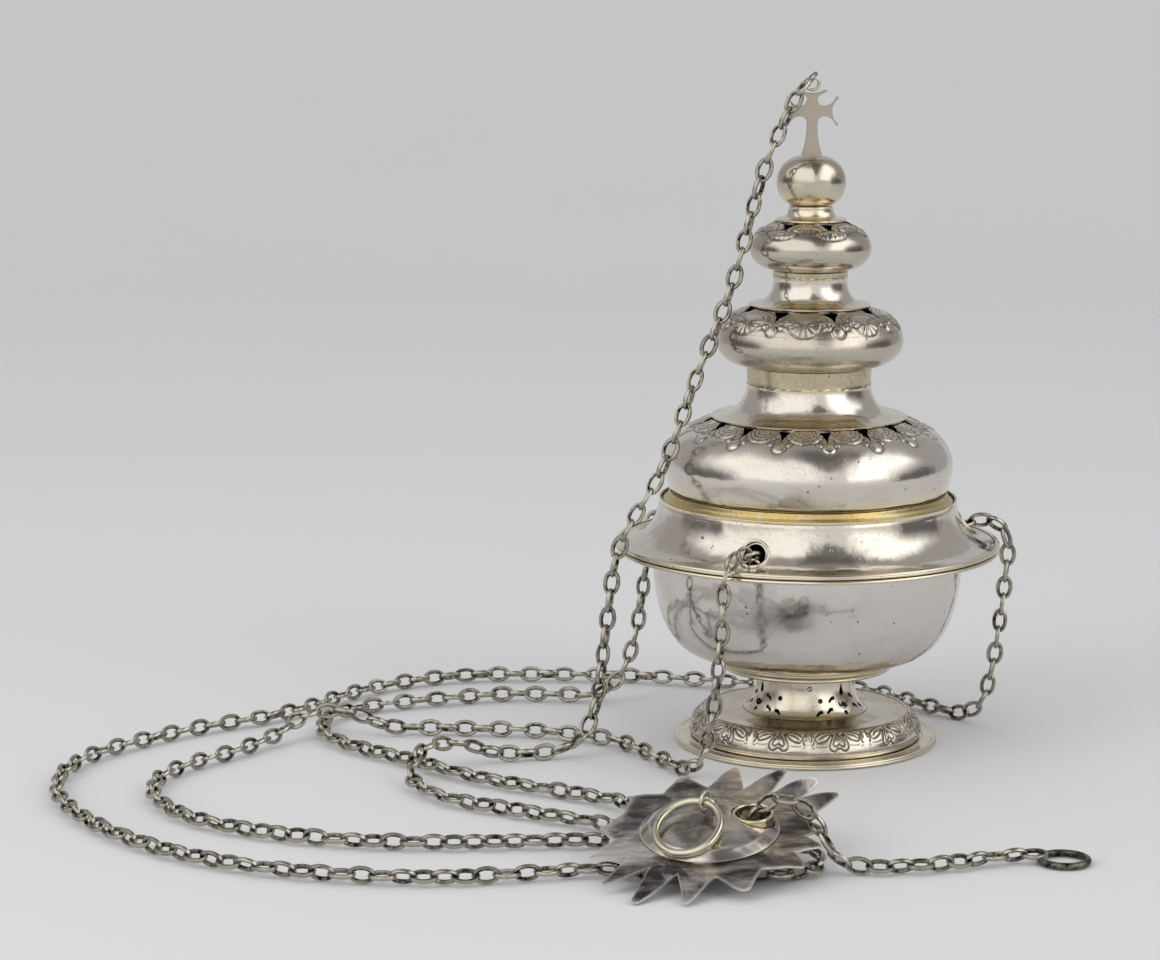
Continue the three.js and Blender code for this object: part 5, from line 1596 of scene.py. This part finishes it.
def grip_rings(metal, yellow):
    """The staple on the boss, the link through it and the finger ring."""
    arch = boss_surface(0) + SEAT + HANDLE_STAPLE_HEIGHT
    staple_pin = JUMP_LINK_RADIUS - JUMP_LINK_WIRE - STAPLE_WIRE - SEAT
    handle_pin = JUMP_LINK_RADIUS - JUMP_LINK_WIRE - HANDLE_WIRE - SEAT
    foot = grip_matrix() @ Matrix.Translation((0, 0, boss_surface(0) + SEAT))
    foot = foot @ Matrix.Rotation(math.pi / 2, 4, "Z")
    route = [foot @ p for p in arch_route(STAPLE_HALF_WIDTH, HANDLE_STAPLE_HEIGHT)]
    node, name = "handle_staple", "handle_wire_staple"
    wire_piece(node, name, route, STAPLE_WIRE, 12, False, metal, "stand")
    link = grip_matrix() @ Matrix.Translation((staple_pin, 0, arch)) @ Matrix.Rotation(math.pi / 2, 4, "X")
    route = ring_route(JUMP_LINK_RADIUS, link, 48)
    node, name = "jump_link", "open_jump_link"
    wire_piece(node, name, route, JUMP_LINK_WIRE, 12, True, yellow, "jump_link")
    place = grip_matrix() @ Matrix.Translation((staple_pin + handle_pin, 0, arch))
    place = place @ Matrix.Rotation(math.radians(HANDLE_LIE), 4, "Y")
    route = ring_route(HANDLE_RADIUS, place @ Matrix.Translation((HANDLE_RADIUS, 0, 0)), 96)
    node, name = "handle_ring", "finger_ring"
    wire_piece(node, name, route, HANDLE_WIRE, 20, True, yellow, "handle_ring")


def lift_ring(material):
    place = Matrix.Translation(AXIS) @ Matrix.Scale(MM, 4) @ Matrix.Translation(LIFT_RING_CENTRE)
    route = ring_route(LIFT_RING_RADIUS, place, 80)
    node, name = "lift_ring", "lift_chain_ring"
    return wire_piece(node, name, route, LIFT_RING_WIRE, 16, True, material, "lift_ring")


# The chains


def smooth_route(points, steps=10):
    """A centripetal curve through the points."""
    points = [np.array(p, dtype=float) for p in points]
    points = [2 * points[0] - points[1], *points, 2 * points[-1] - points[-2]]
    made = []
    for p0, p1, p2, p3 in zip(points, points[1:], points[2:], points[3:]):
        t1 = np.linalg.norm(p1 - p0) ** 0.5
        t2 = t1 + np.linalg.norm(p2 - p1) ** 0.5
        t3 = t2 + np.linalg.norm(p3 - p2) ** 0.5
        for t in np.linspace(t1, t2, steps, endpoint=False):
            a1 = (t1 - t) / t1 * p0 + t / t1 * p1
            a2 = (t2 - t) / (t2 - t1) * p1 + (t - t1) / (t2 - t1) * p2
            a3 = (t3 - t) / (t3 - t2) * p2 + (t - t2) / (t3 - t2) * p3
            b1 = (t2 - t) / t2 * a1 + t / t2 * a2
            b2 = (t3 - t) / (t3 - t1) * a2 + (t - t1) / (t3 - t1) * a3
            made.append((t2 - t) / (t2 - t1) * b1 + (t - t1) / (t2 - t1) * b2)
    made.append(points[-2])
    return np.array(made)


def link_tree():
    """Geometry nodes that lay oval links along a curve, each turned a quarter from the last.

    All of them are rolled by CHAIN_ROLL, and each by its own share of Sway.
    """
    tree = bpy.data.node_groups.new("chain_of_links", "GeometryNodeTree")
    inputs = (
        ("Route", "Geometry"), ("Pitch", "Float"), ("Link Length", "Float"), ("Link Width", "Float"),
        ("Wire", "Float"), ("Sway", "Float"), ("Seed", "Int"), ("Metal", "Material"),
    )
    for name, kind in inputs:
        tree.interface.new_socket(name, in_out="INPUT", socket_type=f"NodeSocket{kind}")
    tree.interface.new_socket("Chain", in_out="OUTPUT", socket_type="NodeSocketGeometry")
    nodes = tree.nodes

    def add(kind, settings=None, sockets=None):
        made = nodes.new(kind)
        for key, value in (settings or {}).items():
            setattr(made, key, value)
        for key, value in (sockets or {}).items():
            if isinstance(value, bpy.types.NodeSocket):
                tree.links.new(value, made.inputs[key])
            else:
                made.inputs[key].default_value = value
        return made

    def calc(operation, *values):
        return add("ShaderNodeMath", {"operation": operation}, dict(enumerate(values))).outputs[0]

    given = add("NodeGroupInput").outputs
    bar = given["Wire"]
    half_length = calc("MULTIPLY", calc("SUBTRACT", given["Link Length"], bar), 0.5)
    half_width = calc("MULTIPLY", calc("SUBTRACT", given["Link Width"], bar), 0.5)

    def circle(steps, radius):
        sockets = {"Resolution": steps, "Radius": radius}
        return add("GeometryNodeCurvePrimitiveCircle", {"mode": "RADIUS"}, sockets).outputs[0]

    half_size = add("ShaderNodeCombineXYZ", {}, {0: half_length, 1: half_width, 2: 1.0}).outputs[0]
    hoop = add("GeometryNodeTransform", {}, {"Geometry": circle(18, 1.0), "Scale": half_size}).outputs[0]
    section = circle(6, calc("MULTIPLY", bar, 0.5))
    link = add("GeometryNodeCurveToMesh", {}, {"Curve": hoop, "Profile Curve": section}).outputs[0]
    local = add("ShaderNodeSeparateXYZ", {}, {0: add("GeometryNodeInputPosition").outputs[0]}).outputs
    run, side = calc("DIVIDE", local[0], half_length), calc("DIVIDE", local[1], half_width)
    reach = calc("SQRT", calc("ADD", calc("MULTIPLY", run, run), calc("MULTIPLY", side, side)))

    def stored(geometry, domain, name, value):
        sockets = {"Geometry": geometry, "Name": name, "Value": value}
        settings = {"data_type": "FLOAT", "domain": domain}
        return add("GeometryNodeStoreNamedAttribute", settings, sockets).outputs[0]

    index = add("GeometryNodeInputIndex").outputs[0]

    def chance(low, high, seed):
        sockets = {2: low, 3: high, "ID": index, "Seed": seed}
        return add("FunctionNodeRandomValue", {"data_type": "FLOAT"}, sockets).outputs[1]

    # Each point's distance from the link's middle line, which the chain's material turns into painted shade
    # inside the link.
    link = stored(link, "POINT", "wear", reach)
    sockets = {"Curve": given["Route"], "Length": given["Pitch"]}
    spaced = add("GeometryNodeResampleCurve", {"mode": "LENGTH"}, sockets).outputs[0]
    along = add("GeometryNodeInputTangent").outputs[0]
    parts = add("ShaderNodeSeparateXYZ", {}, {0: along}).outputs
    steep = calc("ABSOLUTE", parts[2])
    lean = add("ShaderNodeCombineXYZ", {}, {0: 0.0, 1: steep, 2: calc("SUBTRACT", 1.0, steep)}).outputs[0]
    settings = {"primary_axis": "X", "secondary_axis": "Z"}
    sockets = {"Primary Axis": along, "Secondary Axis": lean}
    facing = add("FunctionNodeAxesToRotation", settings, sockets).outputs[0]
    sway = chance(calc("MULTIPLY", given["Sway"], -1.0), given["Sway"], given["Seed"])
    quarter_turn = calc("MULTIPLY", calc("MODULO", index, 2.0), math.pi / 2)
    turn = calc("ADD", quarter_turn, calc("ADD", sway, CHAIN_ROLL))
    about = add("ShaderNodeCombineXYZ", {}, {0: turn}).outputs[0]
    roll = add("FunctionNodeEulerToRotation", {}, {0: about}).outputs[0]
    way = add("FunctionNodeRotateRotation", {"rotation_space": "LOCAL"}, {0: facing, 1: roll}).outputs[0]
    sockets = {"Points": spaced, "Instance": link, "Rotation": way}
    placed = add("GeometryNodeInstanceOnPoints", {}, sockets).outputs[0]
    toned = stored(placed, "INSTANCE", "tone", chance(0.0, 1.0, calc("ADD", given["Seed"], 9.0)))
    real = add("GeometryNodeRealizeInstances", {}, {0: toned}).outputs[0]
    done = add("GeometryNodeSetMaterial", {}, {"Geometry": real, "Material": given["Metal"]}).outputs[0]
    add("NodeGroupOutput", {}, {0: done})
    return tree


def chain_of_links(name, line, tree, metal, sizes, seed):
    """A plain mesh of links along a line of points in metres."""
    curve = bpy.data.curves.new(f"{name}_route", "CURVE")
    curve.dimensions = "3D"
    spline = curve.splines.new("POLY")
    spline.points.add(len(line) - 1)
    spline.points.foreach_set("co", np.column_stack([line, np.ones(len(line))]).ravel())
    holder = shown(f"{name}_route", curve)
    laid = holder.modifiers.new("links", "NODES")
    laid.node_group = tree
    sockets = {item.name: item.identifier for item in tree.interface.items_tree if item.in_out == "INPUT"}
    for key, value in {**sizes, "Seed": seed, "Metal": metal}.items():
        laid[sockets[key]] = value
    graph = bpy.context.evaluated_depsgraph_get()
    graph.update()
    mesh = bpy.data.meshes.new_from_object(holder.evaluated_get(graph))
    bpy.data.objects.remove(holder)
    mesh.name = f"{name}_mesh"
    return mesh


def chains(metal, sizes):
    tree = link_tree()
    for seed, (node, route) in enumerate(ROUTES.items(), start=3):
        line = smooth_route(route) + np.array(AXIS)
        mesh = chain_of_links(f"{node}_links", line, tree, metal, sizes, seed)
        piece = as_piece(f"{node}_links", mesh, metal, None, [node], 60)
        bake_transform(piece)


# The studio


def sweep_backdrop(colour):
    """A pale floor that curves up into a wall."""
    flat = [(-3.2 + 0.4 * i, 0.0) for i in range(12)]
    turns = np.linspace(0, math.pi / 2, 24)
    curve = [(SWEEP_START + SWEEP_BEND * math.sin(a), SWEEP_BEND - SWEEP_BEND * math.cos(a)) for a in turns]
    wall = [(SWEEP_START + SWEEP_BEND, height) for height in (2.6, 4.0)]
    line = flat + curve + wall
    points = [(x, y, z - 0.0001) for y, z in line for x in (-SWEEP_HALF_WIDTH, SWEEP_HALF_WIDTH)]
    faces = [(2 * i, 2 * i + 1, 2 * i + 3, 2 * i + 2) for i in range(len(line) - 1)]
    mesh = bpy.data.meshes.new("paper_sweep_mesh")
    mesh.from_pydata(points, [], faces)
    mesh.shade_smooth()
    material, nodes, place = new_material("grey_paper")
    mottle = nodes.noise(place, 3.0, 2.0)
    paper = nodes.mixed(mottle, rgb(colour), rgb([0.97 * c for c in colour]))
    surface = nodes.node("ShaderNodeBsdfPrincipled", {}, {"Base Color": paper, "Roughness": 0.85})
    nodes.node("ShaderNodeOutputMaterial", {}, {"Surface": surface})
    mesh.materials.append(material)
    shown("paper_sweep", mesh)


def soft_light(name, place, size, power):
    light = bpy.data.lights.new(name, "AREA")
    light.shape = "RECTANGLE"
    light.size, light.size_y = size
    light.energy = power
    lamp = shown(name, light)
    lamp.location = place
    lamp.rotation_euler = (Vector(LIGHT_AIM) - Vector(place)).to_track_quat("-Z", "Y").to_euler()
    lamp.visible_glossy = False


def studio_world():
    """Even light. The silver mirrors two broad soft windows, a dark gap between them and dark sides."""
    world = bpy.data.worlds.new("studio")
    bpy.context.scene.world = world
    world.use_nodes = True
    nodes = Nodes(world.node_tree)
    way = nodes.node("ShaderNodeTexCoord", {}, {}, "Generated")
    parts = nodes.node("ShaderNodeSeparateXYZ", {}, {0: way}).socket.node.outputs
    across, deep, high = (Signal(nodes, parts[i]) for i in range(3))
    side = across.math("ABSOLUTE", across)
    front = (0.0 - deep).between(-0.38, 0.05)
    climb = high.between(-0.2, 0.0) * (1.0 - high.between(0.84, 0.97))
    tall = high.between(0.0, 0.22) * (1.0 - high.between(0.84, 0.96)) * front
    left = (0.16 - across).between(0.0, 0.16) * (1.0 - (0.0 - across).between(0.8, 0.95)) * tall
    right = across.between(0.42, 0.56) * (1.0 - across.between(0.82, 0.95)) * tall
    gap = across - 0.2
    beside = (gap.math("ABSOLUTE", gap) - high * 0.5 + 0.24).between(-0.06, 0.1)
    wedge = front * (1.0 - beside) * high.between(0.46, 0.64)
    rim = side.between(0.86, 0.97) * (1.0 - high.between(0.1, 0.45))
    mirrored = nodes.mixed(front * climb, rgb(MIRRORED_ROOM), rgb(MIRRORED_FRONT))
    mirrored = nodes.mixed((wedge * 0.85 + rim * 0.92).limited(1.0), mirrored, rgb(MIRRORED_GAP))
    mirrored = nodes.mixed(left * (1.0 - wedge), mirrored, rgb(LEFT_WINDOW))
    mirrored = nodes.mixed(right * (1.0 - wedge), mirrored, rgb(RIGHT_WINDOW))
    glossy = nodes.node("ShaderNodeLightPath", {}, {}, "Is Glossy Ray")
    colour = nodes.mixed(glossy, rgb((ROOM_LIGHT, ROOM_LIGHT, ROOM_LIGHT * 1.005)), mirrored)
    background = nodes.node("ShaderNodeBackground", {}, {"Color": colour, "Strength": 1.0})
    nodes.node("ShaderNodeOutputWorld", {}, {"Surface": background})


def studio_camera():
    camera = bpy.data.cameras.new("camera")
    camera.lens = CAMERA_LENS
    camera.sensor_width = CAMERA_SENSOR
    camera.sensor_fit = "HORIZONTAL"
    camera.clip_end = 50.0
    eye = shown("camera", camera)
    eye.location = CAMERA_PLACE
    eye.rotation_euler = (math.radians(90 - CAMERA_DIP), 0, 0)
    bpy.context.scene.camera = eye


# The add-on


def length_setting(name, text, default, low):
    return bpy.props.FloatProperty(name=name, description=text, default=default, min=low, unit="LENGTH")


def colour_setting(name, text, default):
    return bpy.props.FloatVectorProperty(
        name=name, description=text, default=default, subtype="COLOR", min=0, max=1
    )


class ThuribleSizes(bpy.types.PropertyGroup):
    """Sizes of the chains' links and how they lie"""

    link_pitch: length_setting("Link pitch", "Distance from one chain link to the next", 0.007, 0.004)
    link_length: length_setting("Link length", "Outside length of a chain link", 0.0102, 0.005)
    link_width: length_setting("Link width", "Outside width of a chain link", 0.0067, 0.003)
    link_wire: length_setting("Link wire", "Thickness of the wire that the links are made of", 0.0017, 0.0005)
    link_sway: bpy.props.FloatProperty(
        name="Link sway", description="How far a link may be turned from its quarter turn", default=0.3,
        subtype="ANGLE",
    )


class ThuribleColours(bpy.types.PropertyGroup):
    """Colours of the metals and of the studio"""

    silver: colour_setting("Silver", "Polished sheet silver", (0.70, 0.665, 0.635))
    cast: colour_setting("Cast silver", "Cast and drawn silver, a little warmer", (0.70, 0.66, 0.585))
    # Three tenths of the tarnish colour is also the painted shade in the hollows.
    tarnish: colour_setting("Tarnish", "Tarnish in the hollows", (0.4, 0.345, 0.28))
    gilding: colour_setting("Gilding", "Gilding left on the lid's inner ring", (0.6, 0.44, 0.16))
    ring: colour_setting("Rings", "Yellowish wire of the finger ring", (0.64, 0.6, 0.485))
    chain: colour_setting("Chain", "Bright metal of the chains", (0.48, 0.455, 0.385))
    paper: colour_setting("Paper", "The floor and the backdrop", (0.64, 0.64, 0.645))


def colours():
    return bpy.context.scene.thurible_colours


def sizes():
    return bpy.context.scene.thurible_sizes


def finish(name):
    """One of the thurible's metals, made when it is first asked for."""
    if name in bpy.data.materials:
        return bpy.data.materials[name]
    tone = colours()
    silver, cast, shade = tuple(tone.silver), tuple(tone.cast), tuple(tone.tarnish)
    # A silver's last four values are its roughness and the depth of its dents, ripples and grain
    finishes = {
        "raised_silver": (silver_finish, silver, shade, 0.05, 1.6, 2.2, 2.0),
        "chased_silver": (silver_finish, silver, shade, 0.08, 1.3, 1.7, 1.7),
        "dull_silver": (silver_finish, DULL_SILVER, shade, 0.1, 1.3, 1.8, 1.9),
        "cast_cross": (silver_finish, CROSS_SILVER, CROSS_SHADE, 0.26, 0.4, 1.0, 1.6),
        "turned_silver": (silver_finish, cast, shade, 0.12, 0.35, 0.8, 1.2),
        "ring_wire": (silver_finish, tuple(tone.ring), RING_SHADE, 0.12, 0.3, 1.0, 1.0),
        "plate_silver": (sheet_finish, PLATE_SILVER, PLATE_SHADE, PLATE_HIGHLIGHT),
        "boss_silver": (sheet_finish, BOSS_SILVER, BOSS_SHADE, BOSS_HIGHLIGHT),
        "worn_gilding": (gilt_finish, tuple(tone.gilding), WORN_SILVER),
        "chain_wire": (chain_finish, tuple(tone.chain), CHAIN_SHADE),
        "fired_iron": (iron_finish,),
    }
    make, *settings = finishes[name]
    return make(name, *settings)


class ThuribleStage(bpy.types.Operator):
    """Adds the paper sweep, the soft lights and the camera"""

    bl_idname = "thurible.stage"
    bl_label = "Studio"

    def execute(self, context):
        context.scene.view_settings.view_transform = "Standard"
        studio_camera()
        sweep_backdrop(tuple(colours().paper))
        studio_world()
        for softbox in SOFTBOXES:
            soft_light(*softbox)
        return {"FINISHED"}


class ThuribleChains(bpy.types.Operator):
    """Lays the links of the four chains along their routes"""

    bl_idname = "thurible.chains"
    bl_label = "Chains"

    def execute(self, context):
        size = sizes()
        chains(finish("chain_wire"), {
            "Pitch": size.link_pitch, "Link Length": size.link_length, "Link Width": size.link_width,
            "Wire": size.link_wire, "Sway": size.link_sway,
        })
        return {"FINISHED"}


class ThuribleFoot(bpy.types.Operator):
    """Makes the foot's flange, chased band and disc, and the pierced stem"""

    bl_idname = "thurible.foot"
    bl_label = "Foot and stem"

    def execute(self, context):
        foot_flange(finish("turned_silver"))
        foot_band(finish("chased_silver"))
        foot_disc(finish("dull_silver"))
        stem(finish("turned_silver"))
        return {"FINISHED"}


class ThuribleBowl(bpy.types.Operator):
    """Makes the bowl with its moulding, flange, chain lugs and coal pan"""

    bl_idname = "thurible.bowl"
    bl_label = "Bowl"

    def execute(self, context):
        bowl_moulding(finish("turned_silver"))
        bowl(finish("raised_silver"))
        bowl_flange(finish("turned_silver"))
        chain_lugs(finish("turned_silver"))
        coal_pan(finish("fired_iron"))
        return {"FINISHED"}


class ThuribleSkirt(bpy.types.Operator):
    """Makes the lid's rim, its flared skirt with the chain holes, and the gilt ring"""

    bl_idname = "thurible.skirt"
    bl_label = "Lid skirt"

    def execute(self, context):
        lid_rim(finish("turned_silver"))
        lid_skirt(finish("raised_silver"))
        hole_rims(finish("turned_silver"))
        lid_bezel(finish("worn_gilding"))
        return {"FINISHED"}


class ThuribleDomes(bpy.types.Operator):
    """Makes the three chased and pierced domes"""

    bl_idname = "thurible.domes"
    bl_label = "Domes"

    def execute(self, context):
        large_dome(finish("chased_silver"))
        second_dome(finish("dull_silver"))
        third_dome(finish("dull_silver"))
        return {"FINISHED"}


class ThuribleNecks(bpy.types.Operator):
    """Makes the necks between the domes"""

    bl_idname = "thurible.necks"
    bl_label = "Necks"

    def execute(self, context):
        metal = finish("raised_silver")
        lower = (LOWER_LEDGE, LOWER_WAIST, LOWER_NECK_BOTTOM, LOWER_NECK_TOP)
        upper = (UPPER_LEDGE, UPPER_WAIST, UPPER_NECK_BOTTOM, UPPER_NECK_TOP)
        neck("lower_neck", *lower, metal, seed=101, collar=LOWER_COLLAR)
        neck("upper_neck", *upper, metal, seed=111, collar=UPPER_COLLAR)
        ball_neck(finish("turned_silver"))
        return {"FINISHED"}


class ThuribleFinial(bpy.types.Operator):
    """Makes the ball, the forked cross and its loop"""

    bl_idname = "thurible.finial"
    bl_label = "Finial"

    def execute(self, context):
        finial_ball(finish("dull_silver"))
        finial_cross(finish("cast_cross"))
        finial_loop(finish("ring_wire"))
        return {"FINISHED"}


class ThuribleHandPlate(bpy.types.Operator):
    """Makes the rayed hand plate with its boss, eyelet and staples"""

    bl_idname = "thurible.hand_plate"
    bl_label = "Hand plate"

    def execute(self, context):
        hand_plate(finish("plate_silver"))
        plate_boss(finish("boss_silver"))
        plate_eyelet(finish("ring_wire"))
        plate_staples(finish("turned_silver"))
        return {"FINISHED"}


class ThuribleRings(bpy.types.Operator):
    """Makes the finger ring with its link and staple, and the lift chain's ring"""

    bl_idname = "thurible.rings"
    bl_label = "Rings"

    def execute(self, context):
        grip_rings(finish("turned_silver"), finish("ring_wire"))
        lift_ring(finish("chain_wire"))
        return {"FINISHED"}


STEPS = (
    ThuribleStage, ThuribleChains, ThuribleFoot, ThuribleBowl, ThuribleSkirt, ThuribleDomes, ThuribleNecks,
    ThuribleFinial, ThuribleHandPlate, ThuribleRings,
)


class ThuriblePanel(bpy.types.Panel):
    """Lists the thurible's pieces, sizes and colours"""

    bl_idname = "VIEW3D_PT_thurible"
    bl_label = "Thurible"
    bl_space_type = "VIEW_3D"
    bl_region_type = "UI"
    bl_category = "Thurible"

    def draw(self, context):
        for step in STEPS:
            self.layout.operator(step.bl_idname)
        for group in (context.scene.thurible_sizes, context.scene.thurible_colours):
            box = self.layout.box()
            for name in group.__annotations__:
                box.prop(group, name)


CLASSES = (ThuribleSizes, ThuribleColours, *STEPS, ThuriblePanel)


def register():
    for item in CLASSES:
        bpy.utils.register_class(item)
    bpy.types.Scene.thurible_sizes = bpy.props.PointerProperty(type=ThuribleSizes)
    bpy.types.Scene.thurible_colours = bpy.props.PointerProperty(type=ThuribleColours)


def unregister():
    del bpy.types.Scene.thurible_colours
    del bpy.types.Scene.thurible_sizes
    for item in reversed(CLASSES):
        bpy.utils.unregister_class(item)


def main():
    register()
    for step in STEPS:
        group, name = step.bl_idname.split(".")
        getattr(getattr(bpy.ops, group), name)()


if __name__ == "__main__":
    main()
